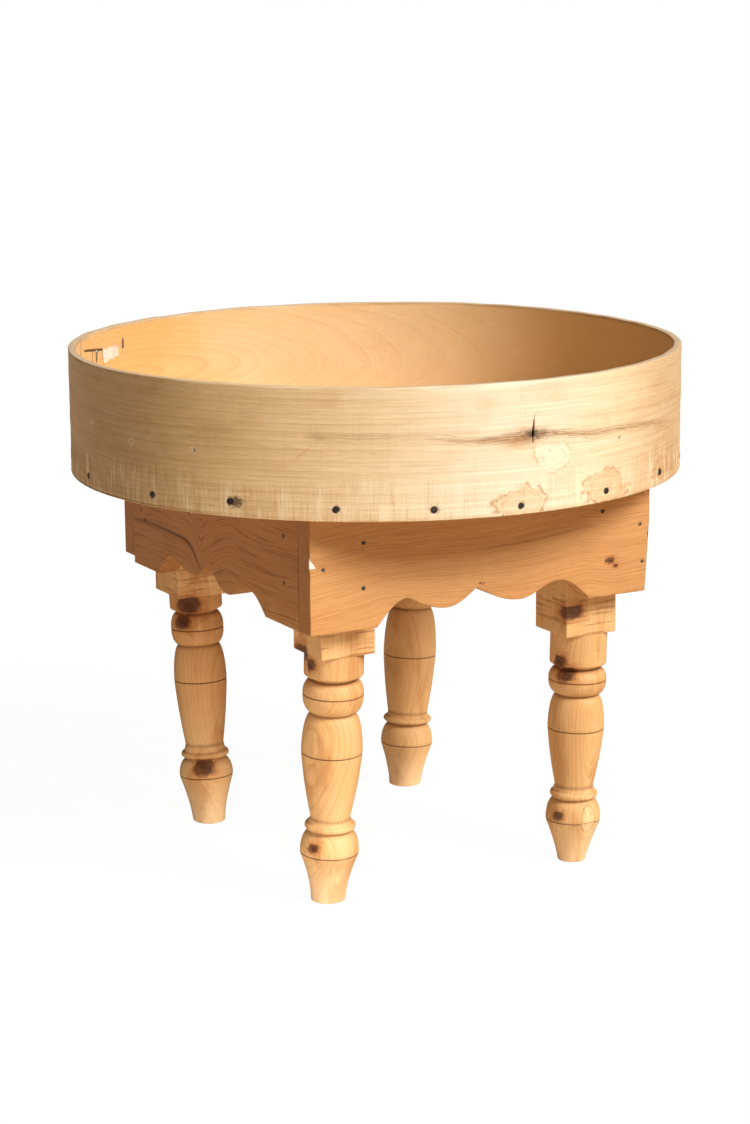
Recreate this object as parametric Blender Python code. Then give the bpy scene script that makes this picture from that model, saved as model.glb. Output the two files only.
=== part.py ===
"""Wooden cheese mold: a shallow tray with a bent-wood hoop, nailed to a four-legged stand.

The hoop is one long thin board bent into a ring, its two ends thinned, lapped over each other
and held by two clinched nails.  It is nailed round the edge of a plank floor.  The floor lies on
a square frame of four scalloped aprons, and a turned leg stands in each corner of the frame.

Metres, +Z up.  The origin is on the ground, under the middle of the tray.  -Y is the front.
"""

import math

import bmesh
import bpy
from mathutils import Matrix, Vector

# ---------------------------------------------------------------- driving dimensions (metres)
GAP = 0.0003                    # air left between pieces that touch

HOOP_RADIUS = 0.300             # outside of the bent hoop
HOOP_OVALITY = 0.0022           # the hoop is this much wider along its long axis ...
HOOP_LONG_AXIS = -30.0          # ... which points this way, in degrees from +X
HOOP_THICKNESS = 0.0078
HOOP_HEIGHT = 0.122
HOOP_BOTTOM = 0.392             # height of the hoop's lower edge above the ground
HOOP_STEP = 3                   # degrees between two corners of the hoop's outline
LAP_INNER_END = 147             # degrees: where the inner end of the board shows
LAP_LENGTH = 36                 # degrees: how far the two ends lap over each other
LAP_TIP = 0.0015                # thickness that the thinned ends keep

FLOOR_THICKNESS = 0.022
PLANK_SEAMS = (-0.100, 0.090)   # Y of the two joints between the three floor planks
PLANK_NAMES = ("front", "middle", "back")

BOARD_LENGTH = 0.3716           # every apron board has the same length ...
BOARD_THICKNESS = 0.0225        # ... and thickness
FRAME_TOP = HOOP_BOTTOM - GAP
FRAME_SHIFT = (0.0020, -0.0011, 0.0)   # middle of the frame from the middle of the hoop

BLOCK_SIDE = 0.0572             # square part of a leg
TURNED_SIDES = 18               # corners of a turned section

HALF = BOARD_LENGTH / 2
PI = math.pi
ROUND_ANGLE = math.radians(35)  # edges flatter than this are shaded smooth

# Where each apron's lower edge turns, as (distance from its left end, height above its corner).
# The stretches between the points are sine curves; the middle point is a sharp cusp.
SCALLOPS = {
    "front": ((0.070, 0.0), (0.103, 0.0245), (0.145, 0.010), (0.177, 0.0255),
              (0.225, 0.0085), (0.268, 0.0220), (0.303, 0.0)),
    "left": ((0.060, 0.0), (0.094, 0.0235), (0.142, 0.0140), (0.178, 0.0325),
             (0.219, 0.0100), (0.266, 0.0240), (0.302, 0.0045)),
    "back": ((0.068, 0.0), (0.102, 0.0235), (0.147, 0.0095), (0.186, 0.0260),
             (0.224, 0.0090), (0.269, 0.0230), (0.304, 0.0)),
    "right": ((0.069, 0.0), (0.104, 0.0240), (0.146, 0.0090), (0.187, 0.0260),
              (0.226, 0.0095), (0.268, 0.0230), (0.303, 0.0)),
}
BOARD_BOTTOMS = {"front": 0.2800, "left": 0.2750, "back": 0.2820, "right": 0.2800}

# Nails through each apron, as (distance from its left end seen from outside, height).
# The front and back boards are also nailed into the end grain of the side boards.
BOARD_NAILS = {
    "front": ((0.0142, 0.341), (0.0563, 0.362), (0.0556, 0.319),
              (0.3177, 0.364), (0.3603, 0.347), (0.3638, 0.310)),
    "left": ((0.0310, 0.360), (0.0290, 0.3245), (0.3415, 0.365), (0.3423, 0.3205)),
    "back": ((0.0110, 0.348), (0.0540, 0.361), (0.0535, 0.322),
             (0.3170, 0.362), (0.3160, 0.320), (0.3605, 0.343)),
    "right": ((0.0330, 0.362), (0.0320, 0.322), (0.3400, 0.361), (0.3410, 0.321)),
}

# Nails round the hoop, as (angle in degrees, height above the hoop's lower edge).
HOOP_NAILS = [(175.8, 0.0119), (197.5, 0.0112), (214.9, 0.0144), (234.5, 0.0114),
              (251.7, 0.0100), (267.7, 0.0081), (286.6, 0.0099), (305.2, 0.0126)]
EVEN_NAILS = 11                 # the rest of the ring is nailed at even steps
EVEN_NAIL_HEIGHT = 0.0110
CLINCH_NAILS = ((136.8, 0.104, -0.0125), (124.5, 0.098, 0.0105))   # angle, height, bent length
FLOOR_NAIL_Y = (-0.140, -0.005, 0.140)

# The four legs were turned by eye, so each has its own heights and radii.
# corner: signs of X and Y.  shift: middle of the turning from the middle of the block.
# foot: middle of the foot from the middle of the block, because the legs lean inwards.
LEGS = {
    "front_left": dict(
        corner=(-1, -1), shift=(0.0, 0.0), foot=(-0.0019, 0.0147), block=0.249,
        drum_end=0.2265, bulb_line=0.208, neck=0.190, vase_line=0.150, vase_end=0.0840,
        ring=0.0760, heel_line=0.0495, drum=0.0283, bulb=0.0291, vase=0.0292,
        vase_foot=0.0188, ring_radius=0.0244, heel=0.0283, toe=0.0167, flare=1.75),
    "back_left": dict(
        corner=(-1, 1), shift=(0.0026, -0.0014), foot=(0.0076, -0.0133), block=0.2445,
        drum_end=0.2275, bulb_line=0.207, neck=0.190, vase_line=0.152, vase_end=0.0835,
        ring=0.0728, heel_line=0.0500, drum=0.0270, bulb=0.0271, vase=0.0271,
        vase_foot=0.0196, ring_radius=0.0246, heel=0.0277, toe=0.0167, flare=1.5),
    "front_right": dict(
        corner=(1, -1), shift=(0.0030, -0.0017), foot=(-0.0022, 0.0011), block=0.2367,
        drum_end=0.2030, bulb_line=0.187, neck=0.1725, vase_line=0.137, vase_end=0.0780,
        ring=0.0690, heel_line=0.0430, drum=0.0279, bulb=0.0286, vase=0.0279,
        vase_foot=0.0190, ring_radius=0.0235, heel=0.0271, toe=0.0139, flare=1.3),
    "back_right": dict(
        corner=(1, 1), shift=(-0.0050, 0.0027), foot=(-0.0183, -0.0003), block=0.2450,
        drum_end=0.2330, bulb_line=0.212, neck=0.1963, vase_line=0.144, vase_end=0.0805,
        ring=0.0725, heel_line=0.0460, drum=0.0278, bulb=0.0282, vase=0.0284,
        vase_foot=0.0214, ring_radius=0.0260, heel=0.0279, toe=0.0172, flare=1.5),
}
GROOVE_RADIUS = 0.0202          # deepest turned groove, above and below the bulb
WAIST_RADIUS = 0.0198           # under the ring
LINE_DEPTH = 0.0008             # V-shaped line cut with the point of the skew
RING_HALF = 0.0036
VASE_SWELL = 0.10               # how far the lower vase bulges out of a straight cone
SAW_LENGTH = 0.004              # each foot is turned this much too long, then sawn level

# Nails: radii and lengths
NAIL_SIDES = 6
NAIL_LENGTH = 0.038
NAIL_SHANK = 0.0012
HOOP_NAIL_HEAD = 0.0030
BOARD_NAIL_HEAD = 0.0023
HEAD_THICKNESS = 0.0012
HEAD_SINK = 0.0004              # the heads are driven this far below the wood
HOLE_CLEARANCE = 0.00035

# ---------------------------------------------------------------- colours (linear RGB)
HOOP_WOOD = (0.78, 0.60, 0.36)
FLOOR_WOOD = (0.62, 0.43, 0.23)
APRON_WOOD = (0.56, 0.30, 0.12)
LEG_WOOD = (0.64, 0.38, 0.17)
IRON = (0.10, 0.09, 0.09)
BRIGHT_STEEL = (0.50, 0.50, 0.50)


def clear_scene():
    """Remove the objects of the startup scene."""
    for obj in list(bpy.data.objects):
        bpy.data.objects.remove(obj, do_unlink=True)


def material(name, colour, roughness, metallic=0.0):
    """One Principled material per sort of wood or metal."""
    found = bpy.data.materials.get(name)
    if found:
        return found
    mat = bpy.data.materials.new(name)
    mat.use_nodes = True
    shader = mat.node_tree.nodes["Principled BSDF"]
    shader.inputs["Base Color"].default_value = (*colour, 1.0)
    shader.inputs["Roughness"].default_value = roughness
    shader.inputs["Metallic"].default_value = metallic
    return mat


def add_object(name, mesh, mat=None):
    """Put a mesh in the scene under a node's name."""
    obj = bpy.data.objects.new(name, mesh)
    bpy.context.scene.collection.objects.link(obj)
    if mat:
        mesh.materials.clear()
        mesh.materials.append(mat)
    return obj


def mesh_from(name, verts, faces, smooth_angle=None):
    """A mesh with all its faces turned outwards."""
    bm = bmesh.new()
    corners = [bm.verts.new(v) for v in verts]
    for face in faces:
        bm.faces.new([corners[i] for i in face])
    bmesh.ops.recalc_face_normals(bm, faces=bm.faces)
    return finish_mesh(name, bm, smooth_angle)


def finish_mesh(name, bm, smooth_angle=None):
    """Turn a bmesh into a mesh; round pieces are shaded smooth between sharp edges."""
    mesh = bpy.data.meshes.new(name)
    bm.to_mesh(mesh)
    bm.free()
    if smooth_angle:
        mesh.shade_smooth()
        mesh.set_sharp_from_angle(angle=smooth_angle)
    return mesh


def cut(target, cutter):
    """Cut the hidden cutter out of a piece."""
    cutter.hide_render = True
    cutter.display_type = "WIRE"
    boolean = target.modifiers.new("holes", "BOOLEAN")
    boolean.operation = "DIFFERENCE"
    boolean.solver = "EXACT"
    boolean.object = cutter


def box_mesh(name, low, high):
    """A box between two corners."""
    bm = bmesh.new()
    bmesh.ops.create_cube(bm, size=1.0)
    size = Vector(high) - Vector(low)
    bmesh.ops.scale(bm, vec=size, verts=bm.verts)
    bmesh.ops.translate(bm, vec=(Vector(low) + Vector(high)) / 2, verts=bm.verts)
    return finish_mesh(name, bm)


def turned_bmesh(profile, sides):
    """Spin a profile of (radius, z) about Z; a radius of zero closes the shape at a pole."""
    bm = bmesh.new()
    rings = []
    for radius, z in profile:
        if radius == 0.0:
            rings.append([bm.verts.new((0.0, 0.0, z))])
            continue
        angles = [2 * PI * k / sides for k in range(sides)]
        rings.append([bm.verts.new((radius * math.cos(a), radius * math.sin(a), z)) for a in angles])
    for upper, lower in zip(rings, rings[1:]):
        for k in range(sides):
            n = (k + 1) % sides
            corners = [upper[k % len(upper)], lower[k % len(lower)],
                       lower[n % len(lower)], upper[n % len(upper)]]
            bm.faces.new(list(dict.fromkeys(corners)))
    bmesh.ops.recalc_face_normals(bm, faces=bm.faces)
    return bm


# ---------------------------------------------------------------- hoop
def oval(angle):
    """How far the hoop's wall stands out of a true circle at an angle in degrees."""
    return HOOP_OVALITY * math.cos(math.radians(2 * (angle - HOOP_LONG_AXIS)))


def lap_share(angle):
    """0 at the inner end of the lap, 1 at its outer tip."""
    return (LAP_INNER_END - angle % 360) / LAP_LENGTH


def inner_radius(angle):
    """Inside of the hoop at an angle in degrees, with the step of the inner end."""
    radius = HOOP_RADIUS - HOOP_THICKNESS + oval(angle)
    share = lap_share(angle)
    if 0 <= share < 1:
        radius -= (1 - share) * (LAP_TIP + GAP)
    return radius


def hoop_section(turn):
    """Inner and outer radius of the board after so many degrees from its inner end."""
    angle = LAP_INNER_END - turn
    inner = HOOP_RADIUS - HOOP_THICKNESS + oval(angle)
    outer = HOOP_RADIUS + oval(angle)
    if turn < LAP_LENGTH:                         # inner end: thin, then full thickness
        share = turn / LAP_LENGTH
        return inner_radius(angle), inner + share * HOOP_THICKNESS - (1 - share) * GAP
    if turn > 360:                                # outer end: full thickness, then thin
        share = (turn - 360) / LAP_LENGTH
        return inner + share * (HOOP_THICKNESS + GAP), outer + share * (LAP_TIP + GAP)
    return inner, outer


def make_hoop():
    """The bent board: a ring that laps over itself, with the nails' holes."""
    verts, faces = [], []
    turns = range(0, 360 + LAP_LENGTH + 1, HOOP_STEP)
    for turn in turns:
        angle = math.radians(LAP_INNER_END - turn)
        inner, outer = hoop_section(turn)
        for radius in (inner, outer):
            for z in (HOOP_BOTTOM, HOOP_BOTTOM + HOOP_HEIGHT):
                verts.append((radius * math.cos(angle), radius * math.sin(angle), z))
    for k in range(len(turns) - 1):
        a, b = 4 * k, 4 * (k + 1)
        faces += [(a, b, b + 1, a + 1), (a + 2, a + 3, b + 3, b + 2),
                  (a, a + 2, b + 2, b), (a + 1, b + 1, b + 3, a + 3)]
    last = 4 * (len(turns) - 1)
    faces += [(0, 1, 3, 2), (last, last + 2, last + 3, last + 1)]
    return add_object("hoop_band", mesh_from("hoop_band", verts, faces, ROUND_ANGLE),
                      material("hoop_wood", HOOP_WOOD, 0.6))


# ---------------------------------------------------------------- floor
def make_floor():
    """Three planks, trimmed to fit inside the hoop."""
    planks = []
    edges = (-1.0,) + PLANK_SEAMS + (1.0,)
    for name, low, high in zip(PLANK_NAMES, edges, edges[1:]):
        bm = bmesh.new()
        outline = []
        for angle in range(0, 360, HOOP_STEP):
            radius = inner_radius(angle) - GAP
            at = math.radians(angle)
            outline.append(bm.verts.new((radius * math.cos(at), radius * math.sin(at), HOOP_BOTTOM)))
        face = bm.faces.new(outline)
        solid = bmesh.ops.extrude_face_region(bm, geom=[face])["geom"]
        lifted = [v for v in solid if isinstance(v, bmesh.types.BMVert)]
        bmesh.ops.translate(bm, vec=(0, 0, FLOOR_THICKNESS), verts=lifted)
        trim(bm, Vector((0, high - GAP / 2, 0)), Vector((0, 1, 0)))
        trim(bm, Vector((0, low + GAP / 2, 0)), Vector((0, -1, 0)))
        bmesh.ops.recalc_face_normals(bm, faces=bm.faces)
        node = f"floor_plank_{name}"
        planks.append(add_object(node, finish_mesh(node, bm), material("floor_wood", FLOOR_WOOD, 0.7)))
    return planks


def trim(bm, point, outward):
    """Saw off what lies outside a plane, and close the cut."""
    everything = bm.verts[:] + bm.edges[:] + bm.faces[:]
    bmesh.ops.bisect_plane(bm, geom=everything, plane_co=point, plane_no=outward,
                           clear_outer=True, dist=1e-6)
    open_edges = [e for e in bm.edges if e.is_boundary]
    if open_edges:
        bmesh.ops.holes_fill(bm, edges=open_edges)


# ---------------------------------------------------------------- aprons
def scallop_outline(points, steps=4):
    """Lower edge of an apron from left to right, as sine curves between its turning points."""
    rise_1, apex_1, low_1, cusp, low_2, apex_2, rise_2 = points
    outline = [rise_1]
    outline += ease(rise_1, apex_1, lambda s: math.sin(PI / 2 * s), steps)
    outline += ease(apex_1, low_1, lambda s: math.sin(PI / 2 * s), steps)
    outline += ease(low_1, cusp, lambda s: 1 - math.cos(PI / 2 * s), steps)
    outline += ease(cusp, low_2, lambda s: math.sin(PI / 2 * s), steps)
    outline += ease(low_2, apex_2, lambda s: (1 - math.cos(PI * s)) / 2, steps)
    outline += ease(apex_2, rise_2, lambda s: 1 - math.cos(PI / 2 * s), steps)
    return outline


def ease(start, end, shape, steps):
    """Points after start up to end, whose height follows a shape from 0 to 1."""
    points = []
    for k in range(1, steps + 1):
        share = k / steps
        along = start[0] + (end[0] - start[0]) * share
        height = start[1] + (end[1] - start[1]) * shape(share)
        points.append((along, height))
    return points


def side_matrix(side):
    """From a board lying along +X, face to -Y, to its place in the frame."""
    turn = {"front": 0, "right": 90, "back": 180, "left": 270}[side]
    depth = HALF + BOARD_THICKNESS if side in ("front", "back") else HALF
    turned = Matrix.Rotation(math.radians(turn), 4, "Z") @ Matrix.Translation((-HALF, -depth, 0.0))
    return Matrix.Translation(FRAME_SHIFT) @ turned


def make_apron(side):
    """One board with a scalloped lower edge."""
    bottom = BOARD_BOTTOMS[side]
    end_gap = 0.0 if side in ("front", "back") else GAP
    outline = [(end_gap, bottom)]
    outline += [(x, bottom + h) for x, h in scallop_outline(SCALLOPS[side])]
    right_corner = bottom + SCALLOPS[side][-1][1]
    outline += [(BOARD_LENGTH - end_gap, right_corner), (BOARD_LENGTH - end_gap, FRAME_TOP),
                (end_gap, FRAME_TOP)]
    count = len(outline)
    verts = [(x, y, z) for y in (0.0, BOARD_THICKNESS) for x, z in outline]
    faces = [tuple(range(count)), tuple(range(count, 2 * count))]
    for k in range(count):
        n = (k + 1) % count
        faces.append((k, n, n + count, k + count))
    name = f"apron_{side}"
    board = add_object(name, mesh_from(name, verts, faces), material("apron_wood", APRON_WOOD, 0.6))
    board.matrix_world = side_matrix(side)
    return board


# ---------------------------------------------------------------- legs
def quarter(r_start, r_end, z_start, z_end, steps, swell_first):
    """A quarter of an ellipse between two (radius, z) points, ends left out at the start."""
    points = []
    for k in range(1, steps + 1):
        a = PI / 2 * k / steps
        if swell_first:
            radius = r_start + (r_end - r_start) * math.sin(a)
            z = z_end + (z_start - z_end) * math.cos(a)
        else:
            radius = r_end + (r_start - r_end) * math.cos(a)
            z = z_start + (z_end - z_start) * math.sin(a)
        points.append((radius, z))
    return points


def scored_line(radius, z):
    """The fine V that marks the widest place of a turned swelling."""
    return [(radius - LINE_DEPTH, z), (radius - LINE_DEPTH / 8, z - LINE_DEPTH)]


def leg_profile(leg):
    """The turned part, from inside the block down to just below the ground."""
    stub_radius, stub_top = 0.018, leg["block"] + 0.008
    drum_top = leg["block"] + 0.002
    rounding = 0.002
    groove = leg["drum_end"] - 2 * rounding
    points = [(0.0, stub_top), (stub_radius, stub_top), (stub_radius, drum_top),
              (leg["drum"], drum_top), (leg["drum"], leg["drum_end"] + rounding),
              (leg["drum"] - rounding, leg["drum_end"]), (GROOVE_RADIUS, groove)]
    points += quarter(GROOVE_RADIUS, leg["bulb"], groove, leg["bulb_line"], 3, True)
    points += scored_line(leg["bulb"], leg["bulb_line"] - LINE_DEPTH)
    points += quarter(leg["bulb"], GROOVE_RADIUS, leg["bulb_line"] - 2 * LINE_DEPTH, leg["neck"], 3, False)
    points += quarter(GROOVE_RADIUS, leg["vase"], leg["neck"] - 0.001, leg["vase_line"], 4, True)
    points += scored_line(leg["vase"], leg["vase_line"] - LINE_DEPTH)
    for k in range(3, -1, -1):
        share = k / 4
        swell = share + VASE_SWELL * math.sin(PI * share)
        points.append((leg["vase_foot"] + (leg["vase"] - leg["vase_foot"]) * swell,
                       leg["vase_end"] + (leg["vase_line"] - leg["vase_end"]) * share))
    for k in range(1, 4):
        a = PI * k / 4
        points.append((WAIST_RADIUS + (leg["ring_radius"] - WAIST_RADIUS) * math.sin(a),
                       leg["ring"] + RING_HALF * math.cos(a)))
    waist = leg["ring"] - RING_HALF - 0.001
    points.append((WAIST_RADIUS, waist))
    points += quarter(WAIST_RADIUS, leg["heel"], waist - 0.001, leg["heel_line"], 3, True)
    points += scored_line(leg["heel"], leg["heel_line"] - LINE_DEPTH)
    steps = 5
    for k in range(steps - 1, 0, -1):           # the foot flares towards the heel
        share = k / steps
        points.append((leg["toe"] + (leg["heel"] - leg["toe"]) * share ** leg["flare"],
                       leg["heel_line"] * share))
    points += [(leg["toe"], -SAW_LENGTH), (0.0, -SAW_LENGTH)]
    return points


def leg_axis(leg):
    """Middle of the block, top of the turning's axis, and middle of the foot."""
    sx, sy = leg["corner"]
    middle = Vector((sx * (HALF - BOARD_THICKNESS - GAP - BLOCK_SIDE / 2),
                     sy * (HALF - GAP - BLOCK_SIDE / 2), 0.0)) + Vector(FRAME_SHIFT)
    top = middle + Vector((*leg["shift"], leg["block"]))
    foot = middle + Vector((*leg["foot"], 0.0))
    return middle, top, foot


def make_leg(name, leg):
    """A square block with the turned part below it, sawn off level with the ground."""
    middle, top, foot = leg_axis(leg)
    lean = Vector((0, 0, 1)).rotation_difference(top - foot).to_matrix().to_4x4()
    bm = turned_bmesh(leg_profile(leg), TURNED_SIDES)
    bmesh.ops.transform(bm, matrix=Matrix.Translation(foot) @ lean, verts=bm.verts)
    trim(bm, Vector((0, 0, 0)), Vector((0, 0, -1)))
    bmesh.ops.recalc_face_normals(bm, faces=bm.faces)
    turning = add_object(f"turning_{name}", finish_mesh(f"turning_{name}", bm, ROUND_ANGLE))
    turning.hide_render = True
    turning.display_type = "WIRE"

    half = Vector((BLOCK_SIDE / 2, BLOCK_SIDE / 2, 0.0))
    low = middle - half + Vector((0, 0, leg["block"]))
    high = middle + half + Vector((0, 0, FRAME_TOP - GAP))
    node = f"leg_{name}"
    block = add_object(node, box_mesh(node, low, high), material("leg_wood", LEG_WOOD, 0.55))
    join = block.modifiers.new("turning", "BOOLEAN")
    join.operation = "UNION"
    join.solver = "EXACT"
    join.object = turning
    return block


# ---------------------------------------------------------------- nails
def nail_profile(head, grow=0.0):
    """A nail along -Z with its head's top at z = 0; grow makes the hole that it sits in."""
    shank = NAIL_SHANK + grow
    under = -HEAD_SINK - HEAD_THICKNESS - grow
    tip = -NAIL_LENGTH - grow
    dome = -HEAD_SINK
    if grow:                                        # the hole runs out through the surface
        return [(0.0, 0.004), (head + grow, 0.004), (head + grow, under), (shank, under),
                (shank, tip), (0.0, tip)]
    return [(0.0, dome), (head * 0.6, dome - 0.0002), (head, dome - HEAD_THICKNESS / 2),
            (head, under), (shank, under), (shank, tip + 0.004), (0.0, tip)]


def place_nails(nodes, head, holes):
    """Nails at (name, matrix), and their holes as one hidden cutter for each (board, names)."""
    metal = material("iron", IRON, 0.55, 0.8)
    mesh = finish_mesh("nail", turned_bmesh(nail_profile(head), NAIL_SIDES), ROUND_ANGLE)
    matrices = {}
    for name, matrix in nodes:
        nail = add_object(name, mesh, metal)
        nail.matrix_world = matrix
        matrices[name] = matrix
    for board, names in holes:
        bm = bmesh.new()
        for name in names:
            hole = turned_bmesh(nail_profile(head, HOLE_CLEARANCE), NAIL_SIDES)
            bmesh.ops.transform(hole, matrix=matrices[name], verts=hole.verts)
            add_bmesh(bm, hole)
        label = f"holes_{board.name}_{names[0]}"
        cut(board, add_object(label, finish_mesh(label, bm)))


def add_bmesh(target, other):
    """Copy one bmesh into another."""
    mesh = finish_mesh("part_of_cutter", other)
    target.from_mesh(mesh)
    bpy.data.meshes.remove(mesh)


def driven(point, inward):
    """Matrix that puts a nail's head at a point, driven along a direction."""
    turn = Vector((0, 0, -1)).rotation_difference(Vector(inward)).to_matrix().to_4x4()
    return Matrix.Translation(point) @ turn


def hoop_nail_places():
    """Angles and heights: the eight seen ones, then even steps over the rest of the ring."""
    last, first = HOOP_NAILS[-1][0], HOOP_NAILS[0][0] + 360
    step = (first - last) / (EVEN_NAILS + 1)
    evenly = [(last + step * (k + 1), EVEN_NAIL_HEIGHT) for k in range(EVEN_NAILS)]
    return HOOP_NAILS + evenly


def make_hoop_nails(hoop, planks):
    """Nails through the hoop's lower edge into the floor planks."""
    nodes = []
    plank_of = {plank.name: [] for plank in planks}
    for k, (angle, height) in enumerate(hoop_nail_places(), start=1):
        out = Vector((math.cos(math.radians(angle)), math.sin(math.radians(angle)), 0.0))
        surface = face_radius(angle)
        point = out * surface + Vector((0, 0, HOOP_BOTTOM + height))
        name = f"hoop_nail_{k:02d}"
        nodes.append((name, driven(point, -out)))
        side = sum(point.y > seam for seam in PLANK_SEAMS)
        plank_of[f"floor_plank_{PLANK_NAMES[side]}"].append(name)
    holes = [(hoop, [name for name, matrix in nodes])]
    holes += [(plank, plank_of[plank.name]) for plank in planks]
    place_nails(nodes, HOOP_NAIL_HEAD, holes)


def face_radius(angle):
    """Outside of the hoop's flat facet at an angle, where a nail's head lies."""
    flat = math.cos(math.radians(HOOP_STEP / 2))
    turn = (LAP_INNER_END - angle) % 360
    if turn < LAP_LENGTH:
        turn += 360
    return hoop_section(turn)[1] * flat


def make_board_nails(boards, legs):
    """Nails through the aprons into the legs' blocks and into the side aprons' ends."""
    nodes = []
    holes = {piece.name: (piece, []) for piece in [*boards.values(), *legs.values()]}
    for side, places in BOARD_NAILS.items():
        to_frame = side_matrix(side)
        inward = to_frame.to_3x3() @ Vector((0, 1, 0))
        for k, (along, z) in enumerate(places, start=1):
            point = to_frame @ Vector((along, 0.0, z))
            name = f"apron_{side}_nail_{k}"
            nodes.append((name, driven(point, inward)))
            holes[boards[side].name][1].append(name)
            holes[held_piece(side, along, point)][1].append(name)
    place_nails(nodes, BOARD_NAIL_HEAD, list(holes.values()))


def held_piece(side, along, point):
    """What a nail bites into: a side board's end within its thickness, else a leg's block."""
    if side in ("front", "back") and min(along, BOARD_LENGTH - along) < BOARD_THICKNESS:
        return "apron_left" if point.x < 0 else "apron_right"
    depth = "front" if point.y < 0 else "back"
    hand = "left" if point.x < 0 else "right"
    return f"leg_{depth}_{hand}"


def make_floor_nails(planks, boards):
    """Nails down through the planks into the top edges of the side aprons."""
    nodes = []
    floor_top = HOOP_BOTTOM + FLOOR_THICKNESS
    holes = {piece.name: (piece, []) for piece in [*planks, boards["left"], boards["right"]]}
    for plank, y in zip(planks, FLOOR_NAIL_Y):
        for hand, sign in (("left", -1), ("right", 1)):
            name = f"{plank.name}_nail_{hand}"
            point = Vector((sign * (HALF - BOARD_THICKNESS / 2), y, floor_top)) + Vector(FRAME_SHIFT)
            nodes.append((name, driven(point, Vector((0, 0, -1)))))
            holes[plank.name][1].append(name)
            holes[f"apron_{hand}"][1].append(name)
    place_nails(nodes, BOARD_NAIL_HEAD, list(holes.values()))


def make_clinch_nails(hoop):
    """Two nails through the lap, whose points are bent over flat against the inside."""
    metal = material("bright_steel", BRIGHT_STEEL, 0.35, 0.9)
    bm_holes = bmesh.new()
    for k, (angle, height, bent) in enumerate(CLINCH_NAILS, start=1):
        out = Vector((math.cos(math.radians(angle)), math.sin(math.radians(angle)), 0.0))
        level = Vector((0, 0, HOOP_BOTTOM + height))
        start = out * (face_radius(angle) - HEAD_SINK) + level
        bend = out * (inner_radius(angle) - NAIL_SHANK - GAP) + level
        end = bend + Vector((0, 0, bent))
        name = f"clinch_nail_{k}"
        add_object(name, bent_nail_mesh(name, start, bend, end), metal)
        hole = turned_bmesh(nail_profile(BOARD_NAIL_HEAD, HOLE_CLEARANCE), NAIL_SIDES)
        place = driven(out * face_radius(angle) + level, -out)
        bmesh.ops.transform(hole, matrix=place, verts=hole.verts)
        add_bmesh(bm_holes, hole)
    cut(hoop, add_object("holes_clinch", finish_mesh("holes_clinch", bm_holes)))


def bent_nail_mesh(name, start, bend, end):
    """Head, straight shank and a bent-over point, as one closed tube with a mitred bend."""
    along = (bend - start).normalized()
    across = (end - bend).normalized()
    side = along.cross(across)
    under = start + along * HEAD_THICKNESS
    # centre of each ring, the direction of its second axis (the first is side) and its radius
    rings = [(start, across, BOARD_NAIL_HEAD), (under, across, BOARD_NAIL_HEAD),
             (under, across, NAIL_SHANK), (bend, across - along, NAIL_SHANK),
             (end, -along, NAIL_SHANK * 0.6)]
    verts, faces = [], []
    for centre, second, radius in rings:
        for k in range(NAIL_SIDES):
            a = 2 * PI * k / NAIL_SIDES
            verts.append(centre + radius * (math.cos(a) * side + math.sin(a) * second))
    count = NAIL_SIDES
    for ring in range(len(rings) - 1):
        for k in range(count):
            n = (k + 1) % count
            a, b = ring * count, (ring + 1) * count
            faces.append((a + k, a + n, b + n, b + k))
    last = (len(rings) - 1) * count
    faces += [tuple(range(count)), tuple(range(last, last + count))]
    return mesh_from(name, verts, faces)


def main():
    clear_scene()
    hoop = make_hoop()
    planks = make_floor()
    boards = {side: make_apron(side) for side in SCALLOPS}
    legs = {name: make_leg(name, leg) for name, leg in LEGS.items()}
    make_hoop_nails(hoop, planks)
    make_board_nails(boards, legs)
    make_floor_nails(planks, boards)
    make_clinch_nails(hoop)


main()
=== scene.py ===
# %% [markdown]
# # A farm cheese mold on turned legs
# The plain model of this mold already holds every size: a bent-wood hoop round a plank floor,
# four scalloped aprons, four turned legs and the nails.  This lesson gives each piece the
# surface of real pine: worn edges, knots, saw marks, water stains and hand-driven nails.
# Everything is in metres, +Z up, the origin on the ground under the middle of the tray.

# %% Load the plain model
import math

import bmesh
import bpy
import numpy as np
from mathutils import Matrix, Vector


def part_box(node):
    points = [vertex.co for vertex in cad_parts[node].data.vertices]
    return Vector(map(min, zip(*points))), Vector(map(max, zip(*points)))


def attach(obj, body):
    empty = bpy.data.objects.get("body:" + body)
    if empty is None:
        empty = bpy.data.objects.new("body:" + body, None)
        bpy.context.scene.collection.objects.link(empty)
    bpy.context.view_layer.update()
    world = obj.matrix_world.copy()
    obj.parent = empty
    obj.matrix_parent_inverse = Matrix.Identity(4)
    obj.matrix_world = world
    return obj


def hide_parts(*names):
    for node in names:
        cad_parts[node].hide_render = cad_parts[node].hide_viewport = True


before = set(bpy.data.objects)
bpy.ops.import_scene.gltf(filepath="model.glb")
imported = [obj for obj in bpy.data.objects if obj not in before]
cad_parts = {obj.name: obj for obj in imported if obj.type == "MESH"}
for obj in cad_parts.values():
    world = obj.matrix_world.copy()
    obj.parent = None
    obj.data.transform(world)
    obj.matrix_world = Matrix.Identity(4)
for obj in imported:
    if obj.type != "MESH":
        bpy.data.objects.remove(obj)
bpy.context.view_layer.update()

PI = math.pi
MM = 0.001

# %% [markdown]
# ## The camera
# A long lens from about three metres keeps the upright lines nearly parallel, as in a catalogue.
# The camera stands to the left of the front apron and looks a little down.  It is turned by
# three directions worked out from the angles: right, up and back.

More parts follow.
